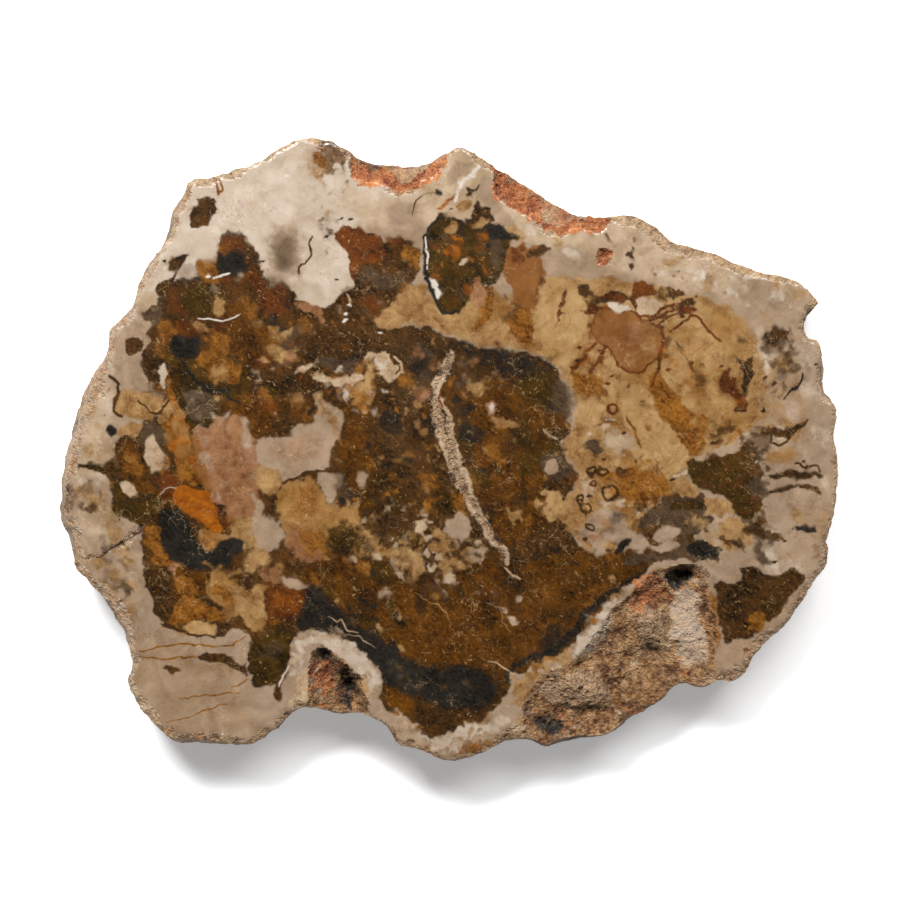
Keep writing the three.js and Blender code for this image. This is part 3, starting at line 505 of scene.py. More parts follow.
HEART = [
    Patch(OLIVE, "26,28 33,34 40,34 46,32 50,27 49,22 42,20 34,21", 3, 0.7, 1),
    Patch(TAUPE, "49,31 53,27 56,18 55,10 52,8 52,16", 1.6, 0.55, 1),
    Patch(SLATE, "47,30 52,27 54,20 53,12 49,14 46,20", 2.5, 0.8),
    Patch(ROSE, "17,19 21,20 22.5,17 20,14.5 17.5,16", 1),
    Patch(MILK, "18.5,18.5 20.5,19 21.5,17 20,15.5 18.5,16.5", 0.9, 0.7),
    Patch(TAN, "20,14 33,12 33,10 26,10 21,10", 1.4, 0.7, 2),
    Patch(TAN, "6,27 14,30 16,24 10,22", 1.5, 0.4, 2.5),
    Patch(TAN, "24,-26 31,-27 32,-31 26,-33", 1.2, 0.7, 2),
    Patch(BUFF, "39,-23 43,-17 50,-18 53,-26 50,-33 43,-29", 1.4, 0.7, 2.6),
    Patch(SLATE, "40,-4 43,-2 48,-2 57,-10 56,-15 51,-13 47,-14 42,-12", 1.4, 0.95),
    Patch(TAUPE, "42,-8 44,-4.5 47,-4 50,-8 48,-11 45,-12 42.5,-10.5", 0.8, 0.95),
    Patch(TAUPE, "5,-27 8,-28 10,-33 10,-38 7,-41 2,-40 -2,-38 0,-33", 1.2),
    Patch(TAN, "-7,-37 -3,-35 1,-40 6,-42 4,-45 -2,-46 -6,-43", 1.2, 0.9, 1),
    Patch(TAUPE, "8,-44 12,-42 16,-42 18,-45 14,-49 8,-50", 1, 0.9, 1),
    Patch(TAN, "-3,-47 5,-45 8,-50 4,-54 -2,-56 -5,-52", 1.2, 0.6, 2),
    Patch(CHALK, "-14.5,-30.5 -10,-33 -10,-36 -12,-38 -13.5,-36.5"),
    Patch(TAN, "-24,-43 -14,-42 -9,-45 -10,-54 -14,-56 -19,-51 -25,-50", 1.4, 0.65, 1.6),
    Mosaic((ASH, TAN, UMBER, SLATE, OLIVE, HONEY), "-46,-24 -6,-34 18,-42 14,-50 0,-57 -16,-58 "
           "-46,-46", 170, 1.4, 0.65, -20, 0.2),
    Patch(UMBER, "-30,-27 -18,-29 -15,-35 -24,-38 -32,-34", 2, 0.7, 1.5),
    Patch(TAUPE, "-39.5,-12 -37.5,-10 -34.5,-10 -33.5,-12.5 -34.5,-15.5 -37.5,-17 -39.5,-15", 1.6, 0.8),
    Patch(ASH, "-30,-61 -24,-61 -23.5,-65 -29,-65.5", 1.4, 0.5, 1.5),
    Mosaic((SLATE, ASH, SLATE, INK), "11,-61 16,-59 23,-60 30,-66 34,-74 27,-76 "
           "18,-68", 44, 1.6, 0.4, -40),
    Vein(CHALK, "-51,-73 -48,-75 -46,-74 -43,-78 -39,-79", 0.7, 0.7),
    Vein(CHALK, "-43,-80 -38,-81 -35,-84 -31,-86", 0.6, 0.6),
    Vein(TAN, "-14,-62 -9,-66 -3,-68 2,-76", 0.5, 0.6),
    Vein(TAN, "18,-66 23,-70 24,-75 28,-79", 0.5, 0.6),
    Patch(INK, "-30,-88 -24,-86 -16,-92 -6,-96 6,-93 16,-96 22,-102 20,-110 10,-114 -10,-110 -30,-100 "
          "-32,-94", 2.5, 0.95, 1.2),
    Patch(ASH, "-27,-91 -21,-90 -12,-98 -8,-104 -14,-108 -24,-101", 3, 0.16, 1),
    Mosaic((INK, SLATE, OLIVE), "-28,-92 0,-94 18,-98 20,-108 0,-112 -22,-106", 50, 1.8, 0.5, -30),
    Patch(AMBER, "-28,-103 -22,-103 -14,-109 -14,-115 -23,-114", 2, 0.9),
    Vein(INK, "26,-101 29,-94 38,-90 48,-87 56,-78 63,-69 71,-62 78,-58 86,-52", 4, 0.7),
    Mosaic((TAN, OCHRE, ASH), "-20,-60 0,-60 36,-70 34,-92 8,-84 -14,-74", 40, 0.8, 0.4, -40),
    Vein(CHALK, "18,-92 22,-93 28,-97 33,-101", 0.8, 0.8),
    Vein(CHALK, "25.5,-51 29,-54.5 31.5,-56.5"),
    Vein(CHALK, "41.5,8 44,6 47.5,4.5", 1.5, 0.6),
]

EYE = [
    Patch(SLATE, "-55,39 -49,40 -40,39 -38,35 -43,32 -50,33 -54,35", 1.2, 0.9),
    Patch(CHALK, "-66,33 -62,36 -58,37 -55,39 -54,37 -65,32", 0.8, 1, 0.5),
    Patch(CHALK, "-59,32 -55,35 -54,32 -50,30 -40,32 -38,35 -35,30 -46,26 -51,27 -57,30", 0.8, 1, 0.8),
    Patch(CHALK, "-38,38 -36,41 -26,41 -21,32 -22,30 -27,30 -30,32 -30,36 -32,38", 0.8, 1, 0.8),
    Patch(TAN, "-36,38 -30,38 -31,26 -30,23 -31,20 -34,16 -37,15 -39,16 -38,19 -46,24 -44,28 "
          "-35,30", 1, 0.9, 1.6),
    Mosaic((TAN, OCHRE, CREAM, UMBER, AMBER), "-60,34 -38,36 -20,42 -18,30 -28,16 -40,14 "
           "-56,26", 70, 1.7, 0.65, 20, 0.15),
    Patch(OCHRE, "-45,27 -38,28 -34,23 -34,17 -39,17", 1.8, 0.5, 2),
    Vein(CHALK, "-23,39.5 -20,37.5 -19.5,33.5 -21.5,31", 1.1),
    Patch(TAUPE, "-82,2 -75,5 -68,5 -67,9 -54,12 -59,24 -55,24 -52,20 -47,18 -45,15 -45,5 -48,4 -50,0 "
          "-50,-10 -60,-10 -68,-15 -71,-15 -73,-10 -76,-8 -82,-7", 1.1),
    Patch(TAN, "-58,24 -54,23 -46,10 -46,4 -51,6", 2, 0.7, 1),
    Patch(ROSE, "-78,2 -56,8 -52,-4 -60,-9 -78,-5", 4, 0.45, 1),
    Patch(TAN, "-69,24 -62,24 -61,19 -67,18.5", 2, 0.6, 1.4),
    Patch(TAUPE, "-55,-11 -48,-11 -44,-12 -45,-16 -48,-18 -49,-22 -51,-24 -54,-18 -56,-12", 1, 0.9),
    Patch(HONEY, "-73,-17 -66,-14 -58,-12 -53,-22 -50,-25 -46,-26 -41,-24 -39,-28 -38,-35 -44,-36 "
          "-50,-35 -52,-39 -55,-42 -62,-46 -66,-44 -70,-38 -74,-24", 1.4, 0.9, 1.4),
    Patch(ROSE, "-70,-33 -60,-32 -53,-42 -56,-51 -66,-50 -71,-42", 3, 0.7, 1),
    Patch(OCHRE, "-66,-34 -54,-34 -50,-42 -58,-46 -66,-42", 3, 0.7, 2),
    Patch(OCHRE, "-66,-17 -58,-15 -54,-24 -58,-32 -68,-26", 2.6, 0.5, 1),
    Patch(OLIVE, "-51,-32 -38,-33 -35,-42 -46,-46 -52,-40", 2.4, 0.7, 2),
    Patch(SLATE, "-50,-12 -43,-10 -42,-20 -48,-23", 2, 0.5, 1.4),
    Patch(TAN, "-82,-6 -74,-8 -70,-15 -74,-20 -82,-19", 1.4, 0.85),
    Patch(UMBER, "-82,-15 -75,-24 -74,-27 -82,-30", 1.2, 0.7),
    Patch(TAUPE, "-84,-20 -80,-24 -79,-30 -70,-31 -70,-42 -78,-44 -86,-38", 1.6, 0.85, 1),
    Vein(UMBER, "-70,-15 -65,-12 -60,-10 -47,-10", 1.3),
]

LEFT_SIDE = [
    Mosaic((TAN, OCHRE, RUST, OLIVE, AMBER, SLATE), "-144,2 -126,30 -98,24 -84,-10 -96,-50 -118,-74 "
           "-130,-50 -132,-32 -144,-26", 90, 4, 0.6, 80, 0.15),
    Patch(OLIVE, "-124,46 -92,42 -84,34 -86,20 -100,22 -112,26 -120,30", 3, 0.7, 2),
    Patch(OCHRE, "-112,44 -98,42 -88,34 -92,27 -100,28 -108,36", 2.6, 0.8, 2.4),
    Patch(TAN, "-104,36 -96,36 -94,29 -100,28", 1.6, 0.6, 2),
    Patch(AMBER, "-92,24 -80,22 -76,8 -82,0 -90,4 -94,14", 2, 0.95, 1),
    Patch(CREAM, "-123,38 -121,30 -122,27 -124,27 -125,33", 0.8),
    Patch(OCHRE, "-122,35 -118,27 -114,14 -111,11 -110,-5 -106,-15 -112,-16 -120,-1 -120,5 -123,10 "
          "-118,15 -117,20 -124,26 -121,30"),
    Patch(HONEY, "-120,26 -112,12 -111,-4 -116,-4 -119,8 -118,16", 1.2, 0.95),
    Patch(TAN, "-122,20 -118,21 -118,18 -120,13 -123,11 -124,13 -123,18", 0.8),
    Patch(TAN, "-141,25 -132,24 -122,21 -126,14 -131,12 -138,13 -144,18"),
    Patch(TAN, "-144,8 -140,10 -134,11 -131,8 -133,5 -136,4 -144,5"),
    Patch(INK, "-148,8 -146,10.5 -144,10.5 -143.5,7.5 -144,4.5 -147.5,6.5", 0.8),
    Patch(SLATE, "-133,9 -127,12 -123,11 -120,4 -122,0 -128,6 -130,1 -133,-1", 1.1, 0.9),
    Patch(ASH, "-128,6 -124,1 -119,-8 -122,-10 -126,-10 -130,-7 -132,-2"),
    Patch(AMBER, "-144,1 -139,4 -133,2 -133,-2 -126,-15 -125,-20 -126,-25 -133,-24 -136,-17 -141,-12"),
    Patch(OCHRE, "-142,0 -137,2 -130,-10 -133,-14 -138,-10 -141,-6", 1.8, 0.6, 1),
    Patch(INK, "-162,-4.5 -159.5,-5 -158.5,-8 -159.5,-10 -161.5,-7", 0.8),
    Patch(OLIVE, "-145,-15 -141,-15 -139,-20 -133,-21 -129,-19 -126,-20 -125,-25 -130,-32 -133,-33 "
          "-139,-30 -143,-32", 1.1),
    Patch(ASH, "-140,-13 -135.5,-15.5 -135,-18.5 -137.5,-20 -141.5,-18"),
    Patch(RUST, "-125,-10 -117,-10 -116,-18 -119,-24 -125,-23", 1.8, 0.9),
    Patch(FLAME, "-117,-15 -103,-19 -100,-24 -97,-33 -98,-36 -103,-35 -108,-30 -117,-25 -119,-20", 1.2),
    Patch(ROSE, "-111,10 -100,15 -96,11 -89,-9 -90,-15 -94,-24 -100,-24 -104,-17 -108,-8", 1.2),
    Patch(SALMON, "-111,8 -107,6 -105,-8 -101,-18 -105,-19 -109,-8", 1.8, 0.8),
    Patch(ROSE, "-96,14 -90,14 -86,8 -81,3 -79,-2 -80,-8 -89,-11 -92,-5", 1),
    Patch(ROSE, "-94,-12 -82,-9 -78,-18 -82,-32 -92,-34 -96,-24", 2, 0.8, 1),
    Patch(TAN, "-92,-30 -80,-28 -74,-38 -78,-50 -90,-50 -94,-40", 2, 0.9, 1.2),
    Patch(OLIVE, "-92,-42 -82,-42 -78,-50 -88,-52", 2.4, 0.6, 2),
    Patch(OLIVE, "-118,28 -103,24 -100,21 -100,14 -102,9 -108,9 -112,11 -115,16"),
    Patch(SLATE, "-114,26 -112,24 -103,23 -101,20 -101,14 -103,11 -107,11 -111,13 -113,16 -113,21"),
    Patch(TAN, "-108,-33 -104,-36 -98,-36 -94,-38 -95,-42 -103,-48 -106,-44"),
    Patch(OCHRE, "-131,-34 -124,-32 -121,-44 -117,-52 -124,-53 -129,-46", 1.8, 0.95, 1),
    Patch(OCHRE, "-108,-33 -98,-36 -94,-40 -103,-48 -107,-42", 2, 0.6, 1),
    Patch(INK, "-126,-28 -120,-26 -116,-27 -112,-31 -111,-37 -105,-45 -101,-43 -97,-39 -90,-38 -87,-42 "
          "-89,-47 -95,-50 -101,-51 -106,-54 -115,-54 -121,-47", 1.1),
    Mosaic((SLATE, ASH, INK, INK), "-124,-29 -114,-29 -110,-44 -90,-41 -90,-47 "
           "-118,-52", 30, 1.1, 0.5, -60),
    Vein(UMBER, "-146,31 -142,28 -142,21 -144,17 -141,14", 1.8),
    Vein(UMBER, "-133,20 -129,16 -124,15 -120,21 -117,21", 0.9),
    Vein(CREAM, "-124.5,-19.5 -122,-17 -119.5,-16.5 -117.5,-16.5", 0.7, 0.6),
    Vein(INK, "-115,38 -107,28 -102,25 -96,26 -94,22 -89,20", 2.4, 0.8),
    Vein(OLIVE, "-159,-7 -152,-8 -146,-10 -141,-9", 2.2),
    Mosaic((ROSE, CREAM, RUST, TAUPE, SALMON), "-110,10 -96,16 -82,8 -80,-14 "
           "-98,-24", 60, 3.2, 0.4, -75),
    Mosaic((OCHRE, HONEY, FLAME), "-121,28 -114,14 -108,-10 -114,-14 -121,4", 36, 2.4, 0.5, -75),
    Mosaic((SLATE, ASH, OLIVE), "-114,25 -102,22 -102,11 -113,14", 20, 2.2, 0.4, -60),
    Mosaic((TAN, OCHRE), "-127,3 -119,-6 -122,-10 -128,-8", 10, 1.8, 0.5, -70),
]

LOWER_LEFT = [
    Mosaic((TAN, OCHRE, AMBER, HONEY, UMBER, ROSE), "-122,-50 -66,-48 -62,-76 -84,-79 "
           "-120,-76", 70, 4, 0.7, 20, 0.2),
    Patch(UMBER, "-128,-52 -122,-50 -119,-55 -118,-62 -118,-73 -123,-74 -127,-68", 1.2, 0.95),
    Patch(AMBER, "-120,-52 -104,-52 -98,-58 -104,-64 -118,-68", 1.8, 0.9),
    Patch(OCHRE, "-118,-57 -115,-55 -110,-56 -108,-60 -109,-63 -113,-64 -117,-62", 1.1, 0.9),
    Patch(OCHRE, "-118,-67 -115,-64 -109,-64 -104,-68 -99,-70 -96,-74 -98,-75 -108,-74 -115,-76 -119,-76 "
          "-121,-74 -118,-71"),
    Patch(HONEY, "-104,-52 -98,-53 -86,-60 -79,-57 -79,-78 -86,-78 -91,-71 -99,-68 "
          "-104,-62", 1.4, 0.95, 1),
    Patch(OCHRE, "-102,-56 -92,-62 -84,-64 -80,-72 -86,-74 -92,-68 -100,-64", 1.8, 0.8, 1.6),
    Patch(TAN, "-92,-57 -84,-58 -80,-62 -79,-70 -81,-77 -88,-76 -91,-68", 1.4, 0.9, 1),
    Patch(RUST, "-79,-58 -68,-57 -61,-62 -62,-68 -66,-74 -74,-76 -79,-74", 1.8, 0.9, 1),
    Patch(FLAME, "-77,-62 -68,-61 -65,-66 -69,-71 -76,-70", 2.4, 0.4, 2),
    Patch(TAUPE, "-72,-55 -64,-56 -60,-60 -66,-60 -72,-59", 1.2, 0.8),
    Patch(BUFF, "-114,-78 -112,-76 -108,-75 -103,-76 -100,-76 -101,-79 -104,-81 -109,-81"),
    Patch(UMBER, "-96,-55 -90,-56 -86,-62 -84,-58 -79,-58 -79,-56 -88,-54", 0.8, 0.9),
    Patch(UMBER, "-100,-79 -99,-76 -94,-76 -91,-72 -89,-73 -88,-76 -85,-78 -87,-80 -92,-79 "
          "-101,-82"),
    Patch(OLIVE, "-86,-80 -81,-82 -75,-79 -63,-78 -67,-83 -70,-97 -73,-102 -81,-104 -84,-100 "
          "-87,-90", 1.1, 0.9),
    Patch(SLATE, "-81,-83 -72,-83 -71,-90 -79,-91", 2, 0.5, 1.6),
    Patch(UMBER, "-107,-90 -105,-88 -102,-87 -89,-91 -84,-101 -90,-94 -106,-91"),
    Patch(UMBER, "-73,-109 -75,-106 -70,-95 -68,-97 -66,-101 -70,-107"),
    Patch(UMBER, "-124,-95 -122,-94 -118,-94 -115,-96 -121,-98", 0.8),
    Patch(TAUPE, "-66,-86 -63,-79 -60,-78 -46,-81 -34,-92 -30,-94 -28,-101 -30,-106 -26,-114 -16,-116 "
          "-9,-127 10,-121 18,-117 24,-110 27,-103 34,-97 46,-91 54,-85 72,-65 92,-50 112,-49 118,-60 "
          "112,-106 60,-130 0,-142 -40,-128 -66,-132 -72,-104 -68,-96", 1.1, 0.95),
    Patch(SLATE, "-152,-36 -146,-38 -144,-44 -150,-44", 3, 0.3, 1.5),
    Vein(OCHRE, "-133,-88 -125,-86 -108,-84 -100,-85 -93,-85 -87,-81", 0.8),
    Vein(OCHRE, "-132,-90 -122,-91 -113,-90 -108,-90", 0.8, 0.9),
    Vein(OCHRE, "-116,-108 -109,-107 -103,-107 -97,-106 -90,-106", 0.7, 0.9),
    Vein(OCHRE, "-93,-104.5 -86,-100", 0.8, 0.8),
    Vein(OCHRE, "-121,-118 -112,-116 -105,-113 -98,-111 -95,-111", 0.7, 0.8),
    Vein(CREAM, "-69,-94 -72,-102", 0.8),
    Vein(UMBER, "-123,-76 -119,-78 -114,-79 -110,-81 -101,-81", 1.2),
]

LIPS = [
    Patch(CREAM, "-66,-86 -61,-79 -52,-80 -42,-84 -33,-91 -28,-98 -30,-106 -34,-104 -36,-98 -52,-85 "
          "-60,-85 -63,-98 -68,-98", 1.4, 0.75, 1.6),
    Patch(CREAM, "-12,-125 0,-123 24,-114 27,-119 14,-125 4,-131 -4,-131", 1.4, 0.7, 2),
    Patch(TAN, "27,-106 29,-99 36,-96 54,-84 58,-86 40,-97 35,-105 32,-114", 1.4, 0.7, 2),
    Patch(CREAM, "56,-82 82,-57 86,-57 76,-66 58,-86", 1.4, 0.6, 2),
    Patch(OCHRE, "28,-100 50,-87 62,-74 84,-56 84,-60 48,-93 30,-106", 1.6, 0.6, 2, 2.5),
    Vein(MILK, "3,107 6,113 10,118 16,124", 2.2),
    Mosaic((TAN, ASH, BARK, TAUPE, OCHRE), "-68,-104 -66,-84 -56,-77 -44,-79 -32,-90 -26,-104 -20,-116 "
           "-28,-114 -36,-97 -46,-88 -57,-85 -62,-96", 70, 1.6, 0.6, -40, 0.1),
    Mosaic((TAN, ASH, BARK, CHALK, OCHRE), "-22,-113 -14,-118 -6,-124 4,-120 18,-114 26,-106 34,-110 "
           "26,-124 4,-134 -14,-132 -26,-120", 90, 1.6, 0.6, 20, 0.1),
    Mosaic((OCHRE, TAN, BARK, ASH), "28,-102 44,-90 58,-76 72,-64 86,-55 94,-50 90,-57 76,-68 60,-84 "
           "46,-96 34,-106", 90, 1.5, 0.65, 40, 0.1),
]
SHOULDER = ("31,-142 32,-119 36,-104 42,-97 56,-90 66,-77 78,-64 91,-52 109,-50 113,-60 117,-76 115,-91 "
            "121,-112 80,-135")
BROKEN_GROUND = [
    Patch(PORE, "-42,130 -40,114 -30,113 -23,111 -14,113 -5,116 1,126 2,140 -43,140", 1, 0.95, 0.8),
    Patch(BARK, "-42,140 -40,123 -28,120 -14,120 -4,127 -2,142", 1, 0.9, 1.4),
    Patch(PORE, "17,132 20,122 20,109 25,104 41,96 50,92 60,94 64,91 69,94 72,101 64,116 "
          "40,130", 1, 0.95, 0.8),
    Mosaic((RUST, PORE, INK), "-40,124 -38,115 -6,117 -8,123", 34, 0.9, 0.4, 90),
    Mosaic((RUST, PORE, PORE, RUST), "20,116 34,101 60,95 68,97 60,102 40,108 26,118", 60, 1.0, 0.4, 60),
    *washes("22,132 23,120 34,112 46,105 58,101 72,100 70,120 "
            "40,136", (TAUPE, 1, 0.9, 1.6), (BARK, 1, 0.6, 1, 2)),
    Patch(PORE, "64.5,86 67,87 72,85.5 71,81.5 68.5,79 65,80.5"),
    Patch(CHALK, "-70,-122 -66,-100 -61,-92 -60,-104 -60,-125", 1.4, 0.9, 1),
    Patch(BUFF, "-60,-125 -60,-97 -57,-87 -51,-87 -46,-92 -36,-99 -34,-108 -34,-125", 1, 0.95, 1),
    Patch(PORE, "-60,-98 -57,-87 -50,-88 -46,-95 -50,-108 -58,-106", 2, 0.7, 2),
    Patch(BARK, "-60,-125 -60,-97 -57,-87 -51,-87 -36,-99 -34,-125", 2, 0.4, 1, 6),
    Mosaic((PORE, OCHRE, CREAM, PORE, BARK), "-61,-116 -60,-96 -56,-87 -50,-87 -36,-99 "
           "-34,-114", 90, 1.3, 0.75, 60),
    # Painted shade: near-black stone laid into the shallow hole here, in the pocket.
    Patch(INK, "-57,-87 -51,-87 -50,-92 -56,-92", 1.2, 0.85, 0.8),
    Patch(RUST, "-47,-94 -40,-97 -38,-104 -41,-112 -48,-113", 1.6, 0.8, 1.6),
    # Painted shade: a near-black streak laid into the deep slot of the pocket.
    Vein(INK, "-44,-96 -42,-102 -44,-108 -42,-113", 3.4),
    *washes(SHOULDER, (BUFF, 1, 0.95), (CHALK, 2, 0.6, 0, 8), (OCHRE, 2, 0.5, 0, 5),
            (PORE, 2, 0.45, 0, 3)),
    Mosaic((BARK, CREAM, BUFF, PORE), SHOULDER, 220, 1.5, 0.6, -20),
    Mosaic((RUST, CREAM, OCHRE, UMBER), "60,-80 96,-66 104,-96 88,-112 60,-100", 150, 0.9, 0.7, -20),
    Mosaic((RUST, CREAM, OCHRE, UMBER), "34,-116 60,-114 88,-104 84,-120 50,-130", 110, 0.9, 0.7, -10),
    *washes("82,-56 92,-54 93,-68 86,-72 80,-66", (PORE, 1.4, 0.6, 2), (RUST, 1.4, 0.7, 1, 3)),
    Patch(ASH, "83,-70 95,-68 97,-84 92,-88 84,-86", 1.6, 0.85, 1),
    Patch(CREAM, "96,-62 108,-60 112,-74 114,-92 103,-96 97,-78", 2, 0.75, 1.5),
    Patch(OCHRE, "109,-58 115,-60 118,-76 117,-90 112,-92 112,-74", 1.4, 0.7, 1.5),
    Patch(RUST, "60,-82 76,-81 84,-86 97,-90 96,-94 82,-90 72,-86 62,-86", 1.2, 0.3, 1.5),
    Patch(OCHRE, "62,-84 98,-92 100,-100 84,-100 66,-94", 2, 0.6, 2, 5),
    Patch(ASH, "44,-98 58,-95 70,-100 74,-108 64,-114 48,-112 40,-106", 2, 0.85, 1),
    Patch(CREAM, "52,-88 62,-78 70,-72 72,-76 64,-86 58,-92", 1.6, 0.7, 1.5),
    Patch(OCHRE, "66,-97 70,-98 77,-108 76,-114 71,-108", 2, 0.7, 1),
    Patch(TAN, "74,-100 100,-98 104,-106 88,-114 76,-110", 2.5, 0.7, 1),
    *washes("33,-104 40,-108 44,-114 90,-112 84,-124 48,-132 "
            "33,-124", (OCHRE, 2, 0.7, 2, 6), (BARK, 2, 0.45, 2, 4)),
    # Painted shade: near-black stone laid into two holes of the broken ground, here and on the next line.
    Patch(INK, "38,-117 46,-117 52,-121 46,-124 40,-122", 1.2, 0.9),
    Patch(INK, "95,-53 101,-52 107,-52 107,-57 100,-61 95,-59", 1),
    Patch(UMBER, "-20,-125 -14,-125.5 -13.5,-129.5 -19,-129", 1, 0.8),
    Patch(OCHRE, "5,-127 16,-125 30,-126 22,-131 8,-133", 1.6, 0.6, 2.4),
    Patch(CHALK, "3,44 3,38 -3,29 -4,22 2,15 6,-8 27,-50 10,-22 3,-14 0,-2 -5,8 -8,26 0,39 "
          "1,43", 0.7, 0.9),
    Vein(CHALK, "2,42 2,39 -4,30 -6,24 -5,18 -2,12 -1,6 2,0 3,-7 6,-14 19,-38 25,-44 26,-50", 2.4),
    Vein(ASH, "2,42 -1,34 -5,27 -4,16 3,-7 9,-20 19,-38 25,-44", 5, 0.8),
    Vein(RUST, "-3,26 -3,20 0,6", 1.2),
    Mosaic((BARK, MILK, TAN, ASH, CHALK), "0,40 -5,24 -4,8 3,-8 16,-32 24,-46 20,-34 6,-8 3,10 "
           "-2,20", 44, 1.1, 0.6, -70),
    Vein(UMBER, "-166,-51 -150,-46 -133,-36 -131,-32"),
]

MARKINGS = [*GROUNDS, *HEART_GROUNDS, *RIND, *HEART, *LEFT_SIDE, *EYE, *UPPER_LEFT, *TOP_MIDDLE,
            *HONEY_EDGE, *TOP_RIGHT, *RIGHT_SIDE, *LOWER_LEFT, *LIPS, *BROKEN_GROUND]


def soft_noise(places: np.ndarray, size: float, seed: int) -> np.ndarray:
    """Smooth lumpy noise.

    Args:
        places: points in two or three dimensions, one row each.
        size: the width of a lump, in the same unit as the points.
        seed: picks the pattern.

    Returns:
        One value from -1 to 1 for each row.
    """
    table = np.random.default_rng(SEED + seed).uniform(-1, 1, NOISE_VALUES)
    cell = places / size
    low = np.floor(cell).astype(np.int64)
    part = cell - low
    part = part * part * (3 - 2 * part)
    steps = np.array(NOISE_STEPS)[:places.shape[1]]
    total = np.zeros(len(places))
    for corner in itertools.product((0, 1), repeat=places.shape[1]):
        share = np.prod(np.where(np.array(corner) == 1, part, 1 - part), axis=1)
        key = np.bitwise_xor.reduce((low + np.array(corner)) * steps, axis=1) & (NOISE_VALUES - 1)
        total += share * table[key]
    return total


def smooth_step(value: np.ndarray) -> np.ndarray:
    """An eased ramp from 0 at 0 to 1 at 1."""
    held = np.clip(value, 0, 1)
    return held * held * (3 - 2 * held)


def corners(text: str) -> np.ndarray:
    """The points that a marking's x,y pairs give, one row each."""
    return np.array([pair.split(",") for pair in text.split()], float)


def rounded(points: np.ndarray) -> np.ndarray:
    """The outline with its corners cut once, so that it reads as a curve."""
    after = np.roll(points, -1, axis=0)
    return np.stack([0.75 * points + 0.25 * after, 0.25 * points + 0.75 * after], axis=1).reshape(-1, 2)


def line_distance(places: np.ndarray, path: np.ndarray) -> tuple[np.ndarray, np.ndarray]:
    """How far places are from a path.

    Args:
        places: points in the plane, one row each.
        path: the path's points, in order.

    Returns:
        The distance of each place, and how far along the path its nearest point is, from 0 to 1.
    """
    nearest = np.full(len(places), np.inf)
    along = np.zeros(len(places))
    for index, (start, end) in enumerate(zip(path[:-1], path[1:])):
        run = end - start
        offset = places - start
        share = np.clip(offset @ run / max(float(run @ run), 1e-9), 0, 1)
        gap = np.hypot(offset[:, 0] - share * run[0], offset[:, 1] - share * run[1])
        closer = gap < nearest
        nearest = np.where(closer, gap, nearest)
        along = np.where(closer, (index + share) / (len(path) - 1), along)
    return nearest, along


def depth_inside(places: np.ndarray, outline: np.ndarray) -> np.ndarray:
    """How deep places lie inside a closed outline.

    Args:
        places: points in the plane, one row each.
        outline: the outline's corners, in order.

    Returns:
        The depth of each place, negative outside the outline.
    """
    nearest, _ = line_distance(places, np.vstack([outline, outline[:1]]))
    inside = np.zeros(len(places), bool)
    for start, end in zip(outline, np.roll(outline, -1, axis=0)):
        straddles = (start[1] > places[:, 1]) != (end[1] > places[:, 1])
        if straddles.any():
            crossing = start[0] + (places[:, 1] - start[1]) / (end[1] - start[1]) * (end[0] - start[0])
            inside ^= straddles & (places[:, 0] < crossing)
    return np.where(inside, nearest, -nearest)


def travelled(path: np.ndarray) -> np.ndarray:
    """How far along a path each of its points lies."""
    return np.concatenate([[0], np.cumsum(np.hypot(*np.diff(path, axis=0).T))])


def points_at(path: np.ndarray, stops: np.ndarray) -> np.ndarray:
    """The points of a path at some distances along it."""
    lengths = travelled(path)
    return np.stack([np.interp(stops, lengths, path[:, axis]) for axis in (0, 1)], axis=1)


def along_across(offset: np.ndarray, degrees: float) -> tuple[np.ndarray, np.ndarray]:
    """Offsets measured along a direction and across it."""
    turn = math.radians(degrees)
    return offset @ (math.cos(turn), math.sin(turn)), offset @ (-math.sin(turn), math.cos(turn))


def nearest_gaps(places: np.ndarray, others: np.ndarray) -> np.ndarray:
    """How far each place is from the nearest of some others.

    Args:
        places: points in the plane, one row each.
        others: the points to measure to.

    Returns:
        The distance of each place.
    """
    near = KDTree(len(others))
    for index, (x, y) in enumerate(others.tolist()):
        near.insert((x, y, 0), index)
    near.balance()
    return np.array([near.find((x, y, 0))[2] for x, y in places.tolist()])


def wander(places: np.ndarray) -> np.ndarray:
    """The natural unevenness of the boundaries in the stone.

    Args:
        places: points of the drawing, one row each.

    Returns:
        The offset of each place, in millimetres.
    """
    offsets = []
    for axis in (0, 1):
        broad = soft_noise(places, 6.5, 10 + axis)
        fine = 0.9 * soft_noise(places, 2.9, 20 + axis) + 0.6 * soft_noise(places, 1.5, 25 + axis)
        offsets.append(broad + fine)
    return np.stack(offsets, axis=1)


def vein_line(vein: Vein) -> np.ndarray:
    """The path of a vein with its natural unevenness.

    Args:
        vein: the vein.

    Returns:
        Its points, a millimetre or so apart.
    """
    points = corners(vein.path)
    length = travelled(points)[-1]
    line = points_at(points, np.linspace(0, length, max(3, round(length) + 1)))
    return line - 0.6 * wander(line)


